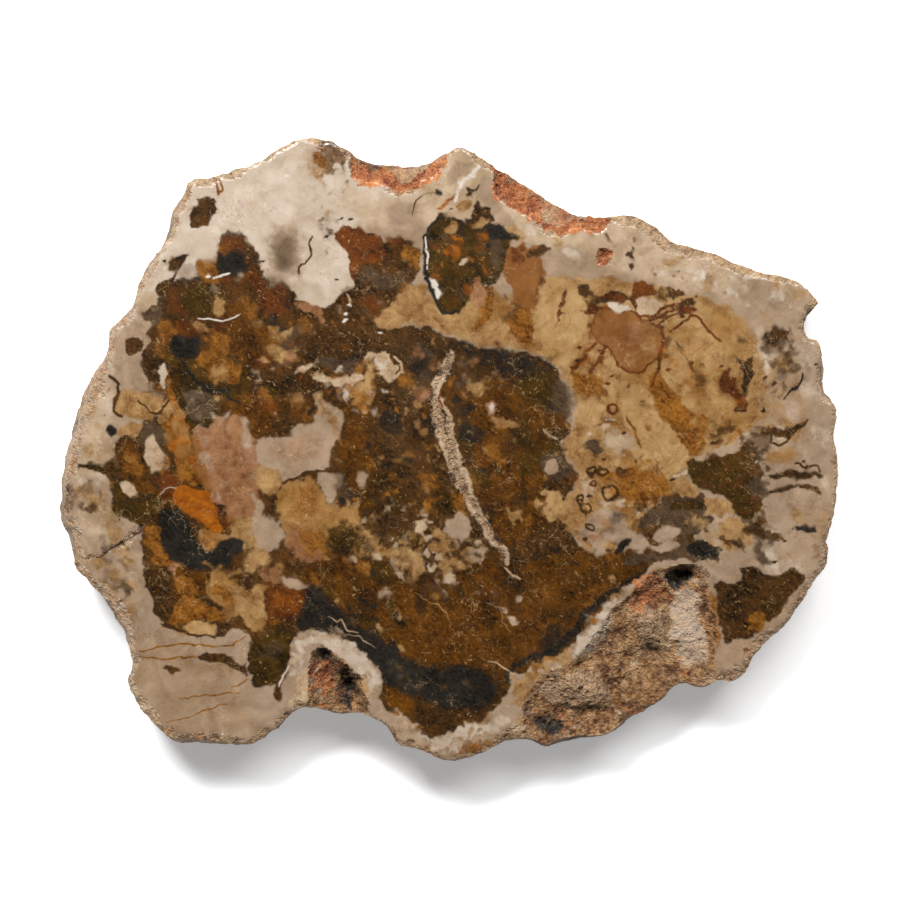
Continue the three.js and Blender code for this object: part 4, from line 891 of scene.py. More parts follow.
@dataclass
class Painter:
    """Works out how much of each tone there is at a set of places on the face.

    places are in the drawing's millimetres. A patch with a feather under crisp_feather gets a thin
    dark line along its border.
    """

    places: np.ndarray
    crisp_feather: float = 2.0

    def __post_init__(self) -> None:
        """Starts with plain rind everywhere."""
        self.shares = np.zeros((len(self.places), len(Tone)))
        self.shares[:, TAUPE.value] = 1
        self.moved = self.places + wander(self.places)
        self.speckle = soft_noise(self.places, 2.4, 31) + 0.6 * soft_noise(self.places, 1.2, 32)
        self.rim_strength = np.clip(0.5 + 0.9 * soft_noise(self.places, 7, 33), 0, 1)

    def lay(self, tone: Tone, rows: np.ndarray, amount: np.ndarray) -> None:
        """Covers some places with a tone.

        Args:
            tone: the stone that is laid.
            rows: the places, as row numbers.
            amount: how much of each place it covers.
        """
        self.shares[rows] *= (1 - amount)[:, None]
        self.shares[rows, tone.value] += amount

    def patch(self, patch: Patch) -> None:
        """Lays one patch, with a thin line along its border where that is crisp.

        Args:
            patch: the patch to lay.
        """
        outline = rounded(corners(patch.outline))
        reach = patch.feather + 1.6 * patch.broken
        rows = self.near(self.moved, outline, reach)
        depth = depth_inside(self.moved[rows], outline) + patch.broken * self.speckle[rows]
        amount = patch.cover * smooth_step(0.5 + depth / (2 * patch.feather))
        if patch.clouds > 0:
            amount *= self.cloud_cover(rows, patch)
        crisp = patch.clouds == 0 and patch.feather < self.crisp_feather
        dark = patch.tone in DARK_TONES
        if crisp and not dark:
            self.line(UMBER, rows, (depth + 0.2) / 0.8, 0.5 * patch.cover)
        self.lay(patch.tone, rows, amount)
        if crisp and dark:
            self.line(INK, rows, (depth - 0.5) / 0.9, 0.65 * patch.cover)

    def near(self, places: np.ndarray, outline: np.ndarray, reach: float) -> np.ndarray:
        """The numbers of the places in an outline's box or within reach of it."""
        inside = (places > outline.min(axis=0) - reach) & (places < outline.max(axis=0) + reach)
        return np.nonzero(inside.all(axis=1))[0]

    def line(self, tone: Tone, rows: np.ndarray, gap: np.ndarray, strength: float) -> None:
        """Lays a thin broken line where the gap is between -1 and 1, the fullest at 0."""
        self.lay(tone, rows, strength * smooth_step(1 - np.abs(gap)) * self.rim_strength[rows])

    def mosaic(self, mosaic: Mosaic) -> None:
        """Lays one mosaic's blobs, placed by seeded random numbers.

        Args:
            mosaic: the mosaic to lay.
        """
        outline = corners(mosaic.outline)
        near = self.near(self.moved, outline, 2 * mosaic.size)
        seed = SEED + mosaic.count + round(10 * abs(outline[0, 0]))
        random = np.random.default_rng(seed)
        centres = random.uniform(outline.min(axis=0), outline.max(axis=0), (3 * mosaic.count, 2))
        centres = centres[depth_inside(centres, outline) > 0][:mosaic.count]
        for centre in centres:
            tone = mosaic.tones[random.integers(len(mosaic.tones))]
            length = mosaic.size * random.uniform(0.5, 1.6)
            breadth = length * random.uniform(0.35, 0.8)
            turn = mosaic.turn + random.normal(0, 25)
            cover = random.uniform(0.4, 1)
            rows = near[(np.abs(self.moved[near] - centre) < 1.3 * length + 1).all(axis=1)]
            along, across = along_across(self.moved[rows] - centre, turn)
            depth = (1 - np.hypot(along / length, across / breadth)) * breadth
            blob = smooth_step(0.5 + depth / (0.4 * breadth + 0.8))
            self.lay(tone, rows, blob * mosaic.cover * cover)
            self.lay(UMBER, rows, mosaic.ring * smooth_step(1 - np.abs(depth) / 0.7))

    def cloud_cover(self, rows: np.ndarray, patch: Patch) -> np.ndarray:
        """Where a patch's scattered clouds lie.

        Args:
            rows: the places, as row numbers.
            patch: the patch that has the clouds.

        Returns:
            How much of each place they cover, from 0 to 1.
        """
        places = self.moved[rows]
        seed = 100 + patch.tone.value
        lumps = soft_noise(places, patch.clouds, seed)
        lumps += 0.55 * soft_noise(places, patch.clouds / 2.3, seed + 30)
        lumps += 0.3 * soft_noise(places, patch.clouds / 5.1, seed + 60)
        return smooth_step((lumps + 0.05) / 0.6)

    def vein(self, vein: Vein) -> None:
        """Lays one vein, thinner towards its ends.

        Args:
            vein: the vein to lay.
        """
        line = vein_line(vein)
        rows = self.near(self.places, line, vein.width)
        gap, along = line_distance(self.places[rows], line)
        half = 0.5 * vein.width * (0.3 + 0.7 * np.sin(np.pi * along)) * (1 + 0.55 * self.speckle[rows])
        self.lay(vein.tone, rows, vein.cover * smooth_step(0.5 + (half - gap) / 0.8))

    def paint(self, markings: list[Patch | Vein | Mosaic]) -> np.ndarray:
        """Lays the markings in order.

        Args:
            markings: the patches, veins and mosaics, the lowest first.

        Returns:
            One row for each place and one column for each tone. A row adds up to 1.
        """
        for marking in markings:
            if isinstance(marking, Patch):
                self.patch(marking)
            elif isinstance(marking, Mosaic):
                self.mosaic(marking)
            else:
                self.vein(marking)
        return self.shares


class PackedSolid:
    """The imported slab, measured by rays. Its lengths are in millimetres.

    reach is how far from its foot the side is looked for.
    """

    reach: float = 7.0

    def __init__(self, node: bpy.types.Object) -> None:
        """Merges the node's loose triangles and makes them ready for rays.

        Args:
            node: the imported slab's object.
        """
        mesh = node.data
        places = np.empty(len(mesh.vertices) * 3)
        mesh.vertices.foreach_get("co", places)
        places = (places.reshape(-1, 3) / MM).round(3)
        self.points, merged = np.unique(places, axis=0, return_inverse=True)
        mesh.calc_loop_triangles()
        triangles = np.empty(len(mesh.loop_triangles) * 3, np.int32)
        mesh.loop_triangles.foreach_get("vertices", triangles)
        self.triangles = merged.reshape(-1)[triangles].reshape(-1, 3)
        self.tree = BVHTree.FromPolygons(self.points.tolist(), self.triangles.tolist())
        self.height = float(self.points[:, 2].max())

    def foot_loop(self) -> np.ndarray:
        """Finds the underside's border.

        Returns:
            Its points, anticlockwise seen from above, one row each.
        """
        flat = (self.points[self.triangles][:, :, 2] < 0.01).all(axis=1)
        border: set[tuple[int, int]] = set()
        for a, b, c in self.triangles[flat].tolist():
            for edge in ((a, b), (b, c), (c, a)):
                if edge[::-1] in border:
                    border.remove(edge[::-1])
                else:
                    border.add(edge)
        following = dict(border)
        first = min(following)
        loop = [first]
        while following[loop[-1]] != first:
            loop.append(following[loop[-1]])
        points = self.points[loop][:, :2]
        after = np.roll(points, -1, axis=0)
        turn = np.sum(points[:, 0] * after[:, 1] - points[:, 1] * after[:, 0])
        return points if turn > 0 else points[::-1]

    def edge_offset(self, foot: np.ndarray, outward: np.ndarray, height: float) -> float:
        """Measures the slab's side at one point and height.

        Args:
            foot: a point of the underside's border.
            outward: the direction away from the slab there.
            height: the height to measure at.

        Returns:
            How far outside the foot the side lies, or nan where it has none.
        """
        for side in (1, -1):
            start = Vector((*(foot + side * outward * self.reach), height))
            heading = Vector((-side * outward[0], -side * outward[1], 0))
            hit, normal, _, distance = self.tree.ray_cast(start, heading, 3 * self.reach)
            if hit is not None and normal.x * outward[0] + normal.y * outward[1] > 0:
                return side * (self.reach - distance)
        return math.nan

    def top_heights(self, places: np.ndarray) -> np.ndarray:
        """Measures the slab's upper surface from above.

        Args:
            places: points in the plane, one row each.

        Returns:
            The height of each, or nan beside the slab.
        """
        down = Vector((0, 0, -1))
        heights = np.empty(len(places))
        for row, (x, y) in enumerate(places.tolist()):
            hit = self.tree.ray_cast(Vector((x, y, self.height + 5)), down)[0]
            heights[row] = hit.z if hit is not None else math.nan
        return heights


def around(values: np.ndarray, reach: int) -> np.ndarray:
    """The mean of each value and its neighbours on a closed loop."""
    return sum(np.roll(values, step, axis=0) for step in range(-reach, reach + 1)) / (2 * reach + 1)


@dataclass(frozen=True)
class Swelling:
    """A rise, or with a negative rise a hole, in the broken ground.

    x, y, length, breadth and rise are in the drawing's millimetres and turn is in degrees.
    """

    x: float
    y: float
    length: float
    breadth: float
    turn: float
    rise: float

    def lift(self, places: np.ndarray) -> np.ndarray:
        """How far it lifts the ground.

        Args:
            places: points of the drawing, one row each.

        Returns:
            The lift of each, in millimetres.
        """
        along, across = along_across(places - (self.x, self.y), self.turn)
        dome = 1 - (along / self.length) ** 2 - (across / self.breadth) ** 2
        return self.rise * np.clip(dome, 0, 1) ** 0.7


SWELLINGS = [
    Swelling(57, -105, 17, 9, -8, 3.5),
    Swelling(89, -77, 7, 9, 10, 2.0),
    Swelling(104, -78, 7, 13, 5, 1.6),
    Swelling(86, -107, 15, 6, 15, 2.0),
    Swelling(72, -90, 10, 5, 30, 1.5),
    Swelling(72, -105, 9, 3, -62, -3.0),
    Swelling(90, -89, 9, 2, -25, -2.5),
    Swelling(101, -56, 6.5, 3.6, 15, -7.0),
    Swelling(45, -120, 8, 2.6, -20, -4.0),
    Swelling(-42, -104, 3.6, 9, 12, -7.0),
    Swelling(-54, -90, 4.5, 2.4, -10, -3.0),
]


@dataclass
class SlabForm:
    """The slab's whole surface: its underside, its side and its upper surface, sharing their rims.

    The spacings are between neighbouring points, in millimetres. A side that ends less than whole_gap
    below the face is raised to it. Ground more than broken_gap below the face is broken ground, where
    the swellings count fully from full_hollow on, and none of it is lower than lowest. No point comes
    nearer to a vein's points than vein_gap times the face's spacing.
    """

    solid: PackedSolid
    station_spacing: float = 1.42
    side_rows: int = 20
    level_step: float = 0.5
    face_spacing: float = 1.16
    underside_spacing: float = 2.9
    steepest_step: float = 1.3
    worn_depth: float = 1.5
    whole_gap: float = 1.2
    broken_gap: float = 0.3
    full_hollow: float = 3.5
    lowest: float = 6.0
    vein_gap: float = 0.62

    def __post_init__(self) -> None:
        """Builds the points and faces."""
        self.points = np.empty((0, 3))
        self.faces: list[tuple[int, int, int]] = []
        self.stand_stations()
        self.raise_side()
        self.fill_face()
        self.fill_underside()

    def stand_stations(self) -> None:
        """Spaces the stations evenly along the foot, each with its outward direction."""
        loop = self.solid.foot_loop()
        closed = np.vstack([loop, loop[:1]])
        girth = travelled(closed)[-1]
        count = round(girth / self.station_spacing)
        self.foot = points_at(closed, np.linspace(0, girth, count, endpoint=False))
        ahead = around(np.roll(self.foot, -2, axis=0) - np.roll(self.foot, 2, axis=0), 4)
        self.outward = np.stack([ahead[:, 1], -ahead[:, 0]], axis=1) / np.hypot(*ahead.T)[:, None]

    def side_profile(self, station: int, levels: np.ndarray) -> tuple[np.ndarray, float]:
        """Measures the side at one station.

        Args:
            station: the station's number.
            levels: the heights to measure at, upwards.

        Returns:
            The side's distance outside the foot at each level, and the height where it ends.
        """
        foot, outward = self.foot[station], self.outward[station]
        offsets = np.array([self.solid.edge_offset(foot, outward, level) for level in levels])
        top = levels[-1]
        for index in range(1, len(levels)):
            if not abs(offsets[index] - offsets[index - 1]) < self.steepest_step:
                top = levels[index - 1]
                offsets[index:] = offsets[index - 1]
                break
        return offsets, float(top)

    def raise_side(self) -> None:
        """Makes the rows of the side, from the foot up to the rim."""
        levels = np.arange(0.1, self.solid.height, self.level_step)
        levels[-1] = self.solid.height - 0.05
        count = len(self.foot)
        profiles = [self.side_profile(station, levels) for station in range(count)]
        offsets = np.array([profile[0] for profile in profiles])
        tops = np.array([profile[1] for profile in profiles])
        whole = tops > self.solid.height - self.whole_gap
        tops = np.median([np.roll(tops, step) for step in range(-2, 3)], axis=0)
        tops = np.where(whole, self.solid.height, around(tops, 1))
        tops = tops - self.worn_depth * self.wear(self.foot) * whole
        rows = []
        for row in range(self.side_rows + 1):
            heights = tops * row / self.side_rows
            out = np.array([np.interp(z, levels, profile) for z, profile in zip(heights, offsets)])
            out = around(out, 1) if row > 0 else np.zeros(count)
            rows.append(np.column_stack([self.foot + out[:, None] * self.outward, heights]))
        self.points = np.vstack(rows)
        for row in range(self.side_rows):
            for station in range(count):
                here = row * count + station
                beside = row * count + (station + 1) % count
                self.faces.append((here, beside, beside + count))
                self.faces.append((here, beside + count, here + count))

    def lattice(self, spacing: float, rim: np.ndarray) -> np.ndarray:
        """Evenly spaced places inside a rim, in staggered rows.

        Args:
            spacing: the distance between neighbours.
            rim: the rim's points, in order.

        Returns:
            The places, one row each.
        """
        low, high = rim.min(axis=0), rim.max(axis=0)
        rows = np.arange(low[1], high[1], spacing * math.sqrt(0.75))
        columns = np.arange(low[0], high[0], spacing)
        x, y = np.meshgrid(columns, rows)
        x = x + 0.5 * spacing * (np.arange(len(rows)) % 2)[:, None]
        places = np.column_stack([x.ravel(), y.ravel()])
        return places[depth_inside(places, rim) > 0.55 * spacing]

    def vein_places(self) -> np.ndarray:
        """Places along each vein, on its middle and just beyond its two sides.

        Returns:
            The places, one row each, none of them twice.
        """
        rows = []
        for vein in MARKINGS:
            if isinstance(vein, Vein):
                line = vein_line(vein) - DRAWING_MIDDLE
                ahead = np.gradient(line, axis=0)
                across = np.column_stack([-ahead[:, 1], ahead[:, 0]]) / np.hypot(*ahead.T)[:, None]
                for side in (0, 1, -1):
                    rows.append(line + side * (0.5 * vein.width + 0.3) * across)
        places = np.vstack(rows)
        _, kept = np.unique((places / 0.5).round(), axis=0, return_index=True)
        return places[np.sort(kept)]

    def triangulate(self, rim_rows: np.ndarray, places: np.ndarray) -> list[tuple]:
        """Joins places and the rim around them into triangles.

        Args:
            rim_rows: the rim's point numbers, anticlockwise seen from above.
            places: the places inside it, which become the slab's next points.

        Returns:
            The triangles, as point numbers.
        """
        rim = self.points[rim_rows][:, :2]
        flat = [Vector(place) for place in np.vstack([rim, places]).tolist()]
        border = [(index, (index + 1) % len(rim)) for index in range(len(rim))]
        made, _, triangles, sources, _, _ = geometry.delaunay_2d_cdt(flat, border, [], 1, 1e-4)
        if len(made) != len(flat):
            log.warning("triangulation made %d places of %d", len(made), len(flat))
        origin = np.array([source[0] if source else -1 for source in sources])
        numbers = np.where(origin < len(rim), origin, origin - len(rim) + len(self.points))
        numbers[origin < len(rim)] = rim_rows[origin[origin < len(rim)]]
        return [tuple(numbers[list(triangle)]) for triangle in triangles]

    def fill_face(self) -> None:
        """Covers the slab from rim to rim with the polished face and its hollows."""
        count = len(self.foot)
        rim_rows = np.arange(self.side_rows * count, (self.side_rows + 1) * count)
        rim = self.points[rim_rows][:, :2]
        veins = self.vein_places()
        veins = veins[depth_inside(veins, rim) > 0.5 * self.face_spacing]
        places = self.lattice(self.face_spacing, rim)
        places = places[nearest_gaps(places, veins) > self.vein_gap * self.face_spacing]
        places = np.vstack([veins, places])
        triangles = self.triangulate(rim_rows, places)
        top = self.solid.height
        heights = self.solid.top_heights(places)
        heights = np.where(np.isnan(heights), top, heights)
        lifts = sum(swelling.lift(places + DRAWING_MIDDLE) for swelling in SWELLINGS)
        hollow = np.clip(top - self.broken_gap - heights, 0, self.full_hollow)
        lifted = heights + lifts * hollow / self.full_hollow
        heights = np.clip(lifted, self.lowest, np.maximum(heights, top - self.broken_gap - 0.1))
        heights = np.minimum(heights, top - self.worn_down(places, rim))
        self.face_first = len(self.points)
        self.points = np.vstack([self.points, np.column_stack([places, heights])])
        self.soften(triangles)
        self.faces.extend(triangles)

    def wear(self, places: np.ndarray) -> np.ndarray:
        """How worn the rim is near each place, from about 0.3 to 1.3, the most on the left."""
        left = smooth_step((-110 - places[:, 0]) / 40)
        return 0.8 + 0.3 * left + 0.35 * soft_noise(places, 23, 61) + 0.3 * soft_noise(places, 7, 62)

    def worn_down(self, places: np.ndarray, rim: np.ndarray) -> np.ndarray:
        """How far wear has lowered the face beside its rim.

        Args:
            places: the face's points.
            rim: the points of its rim.

        Returns:
            The depth at each place, in millimetres.
        """
        gap = nearest_gaps(places, rim)
        wear = self.wear(places)
        width = 3.8 * wear ** 2 + 1.3 * soft_noise(places, 2.6, 63)
        return self.worn_depth * wear * np.clip(1 - gap / np.maximum(width, 0.2), 0, 1) ** 1.5

    def soften(self, triangles: list[tuple]) -> None:
        """Rounds the hollows' coarse facets, and leaves the polished plane and the rim alone.

        Args:
            triangles: the triangles of the upper surface, as point numbers.
        """
        ends = np.array(triangles)[:, [0, 1, 1, 2, 2, 0]].reshape(-1, 2)
        movable = np.arange(len(self.points)) >= self.face_first
        movable &= self.points[:, 2] < self.solid.height - self.broken_gap
        for _ in range(3):
            total = np.zeros(len(self.points))
            count = np.zeros(len(self.points))
            np.add.at(total, ends[:, 0], self.points[ends[:, 1], 2])
            np.add.at(count, ends[:, 0], 1)
            self.points[movable, 2] = (total / np.maximum(count, 1))[movable]

    def fill_underside(self) -> None:
        """Closes the slab with its flat sawn underside."""
        rim_rows = np.arange(len(self.foot))
        places = self.lattice(self.underside_spacing, self.foot)
        triangles = self.triangulate(rim_rows, places)
        self.under_first = len(self.points)
        self.points = np.vstack([self.points, np.column_stack([places, np.zeros(len(places))])])
        self.faces.extend(triangle[::-1] for triangle in triangles)


class Wire:
    """A socket that a node tree's value comes from. Sums on wires add Math nodes."""

    def __init__(self, nodes: "Nodes", socket: bpy.types.NodeSocket) -> None:
        """Wraps a socket of one of the tree's nodes."""
        self.nodes = nodes
        self.socket = socket

    def math(self, operation: str, *values: "Wire | float") -> "Wire":
        """Adds a Math node.

        Args:
            operation: the Math node's operation.
            values: its inputs, in order.

        Returns:
            The node's result.
        """
        inputs = dict(enumerate(values))
        return self.nodes.node("ShaderNodeMath", {"operation": operation}, inputs)

    def __add__(self, other: "Wire | float") -> "Wire":
        """This plus other."""
        return self.math("ADD", self, other)

    def __radd__(self, other: float) -> "Wire":
        """A number plus this."""
        return self.math("ADD", other, self)

    def __sub__(self, other: "Wire | float") -> "Wire":
        """This minus other."""
        return self.math("SUBTRACT", self, other)

    def __rsub__(self, other: float) -> "Wire":
        """A number minus this."""
        return self.math("SUBTRACT", other, self)

    def __mul__(self, other: "Wire | float") -> "Wire":
        """This times other."""
        return self.math("MULTIPLY", self, other)

    def __rmul__(self, other: float) -> "Wire":
        """A number times this."""
        return self.math("MULTIPLY", other, self)

    def __rtruediv__(self, other: float) -> "Wire":
        """A number divided by this."""
        return self.math("DIVIDE", other, self)

    def __pow__(self, other: float) -> "Wire":
        """This to a power."""
        return self.math("POWER", self, other)

    def __abs__(self) -> "Wire":
        """This without its sign."""
        return self.math("ABSOLUTE", self)

    def above(self, low: float, high: float) -> "Wire":
        """An eased ramp from 0 where this is low to 1 where it is high."""
        settings = {"interpolation_type": "SMOOTHSTEP"}
        return self.nodes.node("ShaderNodeMapRange", settings, {"Value": self, 1: low, 2: high})

    def below(self, low: float, high: float) -> "Wire":
        """An eased ramp from 1 where this is low to 0 where it is high."""
        return 1 - self.above(low, high)


class Nodes:
    """Adds nodes to a tree."""

    def __init__(self, tree: bpy.types.NodeTree) -> None:
        """Starts on a tree."""
        self.tree = tree

    def node(self, kind: str, settings: dict | None = None, inputs: dict | None = None,
             output: str | int = 0) -> Wire:
        """Adds a node.

        Args:
            kind: the node's type.
            settings: its properties, set before its inputs.
            inputs: values or wires by socket name or number.
            output: the socket that is wanted.

        Returns:
            That output.
        """
        made = self.tree.nodes.new(kind)
        for name, value in (settings or {}).items():
            setattr(made, name, value)
        for name, value in (inputs or {}).items():
            self.feed(made.inputs[name], value)
        return Wire(self, made.outputs[output])

    def feed(self, socket: bpy.types.NodeSocket, value: Wire | float | tuple) -> None:
        """Links a wire to a socket, or sets the socket's value.

        Args:
            socket: the input.
            value: the wire, or else the value.
        """
        if isinstance(value, Wire):
            self.tree.links.new(value.socket, socket)
        else:
            socket.default_value = value

    def scaled(self, vector: Wire, share: Wire | float) -> Wire:
        """A colour or vector times a share."""
        return self.node("ShaderNodeVectorMath", {"operation": "SCALE"}, {0: vector, "Scale": share})


class Shader(Nodes):
    """Builds one material's nodes."""

    def __init__(self, name: str) -> None:
        """Starts a material with a plain Principled shader.

        Args:
            name: the material's name.
        """
        self.material = bpy.data.materials.new(name)
        self.material.use_nodes = True
        super().__init__(self.material.node_tree)
        self.surface = self.tree.nodes["Principled BSDF"]
        self.places = self.node("ShaderNodeTexCoord", output="Object")

    def dress(self, **inputs: Wire | float | tuple) -> None:
        """Feeds the surface's inputs, by their names with _ for each space."""
        for name, value in inputs.items():
            self.feed(self.surface.inputs[name.replace("_", " ")], value)

    def noise(self, size: float, detail: float = 3, away: float = 0, twist: float = 0, length: float = 1,
              turn: float = 0) -> Wire:
        """Noise in the slab's own space.

        Args:
            size: the width of its lumps, in millimetres.
            detail: how many finer layers it has.
            away: how far it is moved, so that two noises differ, in metres.
            twist: how much it is distorted.
            length: how many times longer than wide its lumps are.
            turn: which way they run, in degrees from the x axis.

        Returns:
            The noise, from about 0.25 to 0.75.
        """
        moved = {0: self.places, "Location": (away, -away, away), "Scale": (length, 1, 1),
                 "Rotation": (0, 0, math.radians(turn))}
        vector = self.node("ShaderNodeMapping", {"vector_type": "TEXTURE"}, moved)
        inputs = {"Vector": vector, "Scale": 1 / (size * MM), "Detail": detail, "Roughness": 0.55,
                  "Distortion": twist}
        return self.node("ShaderNodeTexNoise", {}, inputs)

    def crystals(self, size: float, output: str) -> Wire:
        """Crystal grains of about one size: the distance to each one's middle, or its own colour."""
        inputs = {"Vector": self.places, "Scale": 1 / (size * MM)}
        return self.node("ShaderNodeTexVoronoi", {}, inputs, output)

    def attribute(self, name: str) -> tuple[Wire, Wire, Wire, Wire]:
        """Reads a colour attribute.

        Args:
            name: the attribute's name.

        Returns:
            Its red, green, blue and alpha.
        """
        colour = self.node("ShaderNodeAttribute", {"attribute_name": name}, output="Color")
        split = self.node("ShaderNodeSeparateColor", {}, {0: colour})
        alpha = Wire(self, colour.socket.node.outputs["Alpha"])
        return (*(Wire(self, split.socket.node.outputs[index]) for index in range(3)), alpha)

    def value(self, name: str) -> Wire:
        """A number attribute."""
        return self.node("ShaderNodeAttribute", {"attribute_name": name}, output="Fac")

    def blend(self, factor: Wire | float, first: Wire | tuple, second: Wire | tuple,
              way: str = "MIX") -> Wire:
        """Mixes two colours."""
        settings = {"data_type": "RGBA", "blend_type": way}
        return self.node("ShaderNodeMix", settings, {0: factor, 6: first, 7: second}, output=2)


def linear(colour: tuple[int, int, int], share: float = 1.0) -> tuple[float, float, float, float]:
    """An sRGB colour of 0 to 255 as a surface colour, times a share."""
    parts = [((part / 255 + 0.055) / 1.055) ** 2.4 for part in colour]
    return (*(min(1.0, share * part) for part in parts), 1.0)


@dataclass(frozen=True)
class StoneFinish:
    """The stone: its tones, its polish and its broken surfaces.

    light is the share of the photographed brightness that the surface colours need, since the
    lamps are brighter than white. polished and broken are roughnesses, and grain_depth is in
    millimetres. Shades multiply the stone's own colour; the shades of crevices and of pits are
    painted shade in the broken surfaces. Dusts and flecks are colours of 0 to 255; the dust on
    crests is also a painted highlight, and the dust on grains partly painted glints. Each row of
    threads says how far they are moved, in metres, how far apart they run, in millimetres, how
    and with what tint they are blended, and how strongly.
    """

    light: float = 0.505
    crispness: float = 2.2
    unevenness: float = 0.9
    contrast: float = 2.6
    bands: float = 17.0
    polished: float = 0.16
    broken: float = 0.82
    shine: float = 0.4
    coat: float = 0.25
    coat_roughness: float = 0.08
    grain_depth: float = 1.5
    band_shade: tuple = (0.55, 0.36, 0.2, 1)
    broken_shade: tuple = (1, 0.9, 0.78, 1)
    crevice_painted_shade: tuple = (0.36, 0.2, 0.1, 1)
    pore_painted_shade: tuple = (0.4, 0.24, 0.13, 1)
    grit_shade: tuple = (0.4, 0.26, 0.16, 1)
    gold_fleck: tuple = (186, 148, 98)
    crest_dust_and_highlight: tuple = (232, 188, 136)
    grain_dust_and_glint: tuple = (226, 186, 140)
    threads: tuple = (
        (0.61, 14.0, "MULTIPLY", (0.5, 0.34, 0.2, 1), 0.5),
        (0.71, 8.0, "MULTIPLY", (0.5, 0.34, 0.2, 1), 0.4),
        (0.83, 7.5, "SCREEN", (0.4, 0.28, 0.14, 1), 0.3),
    )

    def material(self) -> bpy.types.Material:
        """Makes the stone's material.

        Returns:
            The material, which reads the slab's attributes.
        """
        shader = Shader("petrified wood")
        polish = shader.value("polish")
        channels = []
        for sheet in range(TONE_SHEETS):
            channels.extend(shader.attribute(f"tones_{sheet}"))
        colour = self.figured_colour(shader, channels)
        colour = self.veined_colour(shader, colour, polish)
        chalk = channels[CHALK.value] + channels[CREAM.value]
        colour = self.rough_colour(shader, colour, polish, chalk, channels[PORE.value])
        roughness = (self.polished + 0.1 * shader.noise(9, 3, away=0.3)) * polish
        roughness = roughness + (1 - polish) * (self.broken + 0.2 * shader.noise(0.9, 3) - 0.1)
        fibres = shader.noise(1.1, 5, away=0.2, twist=0.8, length=1.2, turn=-12)
        crystals = shader.crystals(1.3, "Distance")
        height = fibres + 0.7 * shader.noise(2.6, 3, away=0.45) - 0.35 * crystals - 0.675
        height = 1.5 * (1 - polish) * (1 - 0.5 * chalk) * height
        height = height + 0.01 * shader.noise(5, 2, away=0.1)
        grain = {"Strength": 1.0, "Distance": self.grain_depth * MM, "Height": height}
        shader.dress(Base_Color=colour, Roughness=roughness, Specular_IOR_Level=self.shine,
                     Coat_Weight=self.coat * polish, Coat_Roughness=self.coat_roughness,
                     Normal=shader.node("ShaderNodeBump", {}, grain))
        return shader.material

    def figured_colour(self, shader: Shader, channels: list[Wire]) -> Wire:
        """Mixes the tones by their shares, each broken up at its own borders by noise.

        Args:
            shader: the material that is being built.
            channels: how much of each tone there is.

        Returns:
            The mixed colour.
        """
        clouds = (shader.noise(13, 4, away=0.11, twist=0.9) - 0.5) * self.contrast
        mottle = (shader.noise(4.4, 4, away=0.23, twist=0.6) - 0.5) * self.contrast
        fibres = (shader.noise(2.6, 3, away=0.29, twist=1.4, length=1.8, turn=-38) - 0.5) * self.contrast
        grain = (shader.noise(1.2, 4, away=0.37) - 0.5) * self.contrast
        edge = shader.noise(2.2, 6, away=0.53)
        total: Wire | tuple = (0, 0, 0)
        weight_sum: Wire | float = 0.0
        for tone in Tone:
            look = LOOKS[tone]
            turned = tone.value % 2 == 1
            lean = (1 - edge) if turned else edge
            weight = channels[tone.value] * (1 + self.unevenness * 2 * (lean - 0.5))
            weight = weight ** self.crispness
            broad = fibres if tone in FIBROUS_TONES else mottle
            level = look.clouds * clouds + (-look.mottle if turned else look.mottle) * broad
            level = level + look.grain * grain + 0.5
            tint = shader.blend(level, linear(look.dark, self.light), linear(look.light, self.light))
            parts = {0: total, 1: shader.scaled(tint, weight)}
            total = shader.node("ShaderNodeVectorMath", {"operation": "ADD"}, parts)
            weight_sum = weight + weight_sum
        colour = shader.scaled(total, 1 / (weight_sum + 1e-6))
        rings = shader.noise(20, 1.2, away=0.67, twist=0.5) * self.bands
        rings = abs(rings.math("FRACT", rings) - 0.5).above(0.25, 0.5)
        rings = rings * shader.noise(16, 2, away=0.91).above(0.42, 0.6)
        banded = sum(channels[tone.value] for tone in BANDED_TONES)
        colour = shader.blend(0.3 * rings * banded, colour, self.band_shade, "MULTIPLY")
        dark = sum(channels[tone.value] for tone in DARK_TONES)
        flecks = shader.noise(1.3, 4, away=0.77, twist=0.9, length=1.3, turn=-38).above(0.6, 0.7)
        flecks = flecks * shader.noise(12, 3, away=0.97).above(0.38, 0.56)
        return shader.blend(0.7 * flecks * dark, colour, linear(self.gold_fleck, self.light))

    def rough_colour(self, shader: Shader, colour: Wire, polish: Wire, chalk: Wire, rust: Wire) -> Wire:
        """Dusts the broken surfaces, paints shade into their crevices and pits and paints highlights on
        their crests.

        Args:
            shader: the material that is being built.
            colour: the stone's colour so far.
            polish: 1 on the polished face and 0 where the stone is broken.
            chalk: how chalky the stone is, and so how fine its grain.
            rust: how much of it is rusty pore stone, which keeps its own colour.

        Returns:
            The finished colour.
        """
        relief = shader.value("relief")
        rugged = (1 - polish) * (1 - 0.65 * chalk)
        colour = shader.blend(rugged, colour, self.broken_shade, "MULTIPLY")
        # Painted shade: the broken surfaces darken where their relief is low, in the hollows between
        # lumps.
        painted_crevice_shade = rugged * relief.below(-0.34, 0.02)
        colour = shader.blend(0.85 * painted_crevice_shade, colour, self.crevice_painted_shade, "MULTIPLY")
        # Painted highlight: the raised tops of the relief are lightened towards a pale dusty colour, less
        # on rusty pore stone.
        painted_crest_highlight = (1 - polish) * (1 - 0.8 * rust) * relief.above(-0.06, 0.2)
        colour = shader.blend(0.4 * painted_crest_highlight, colour, linear(self.crest_dust_and_highlight, self.light))
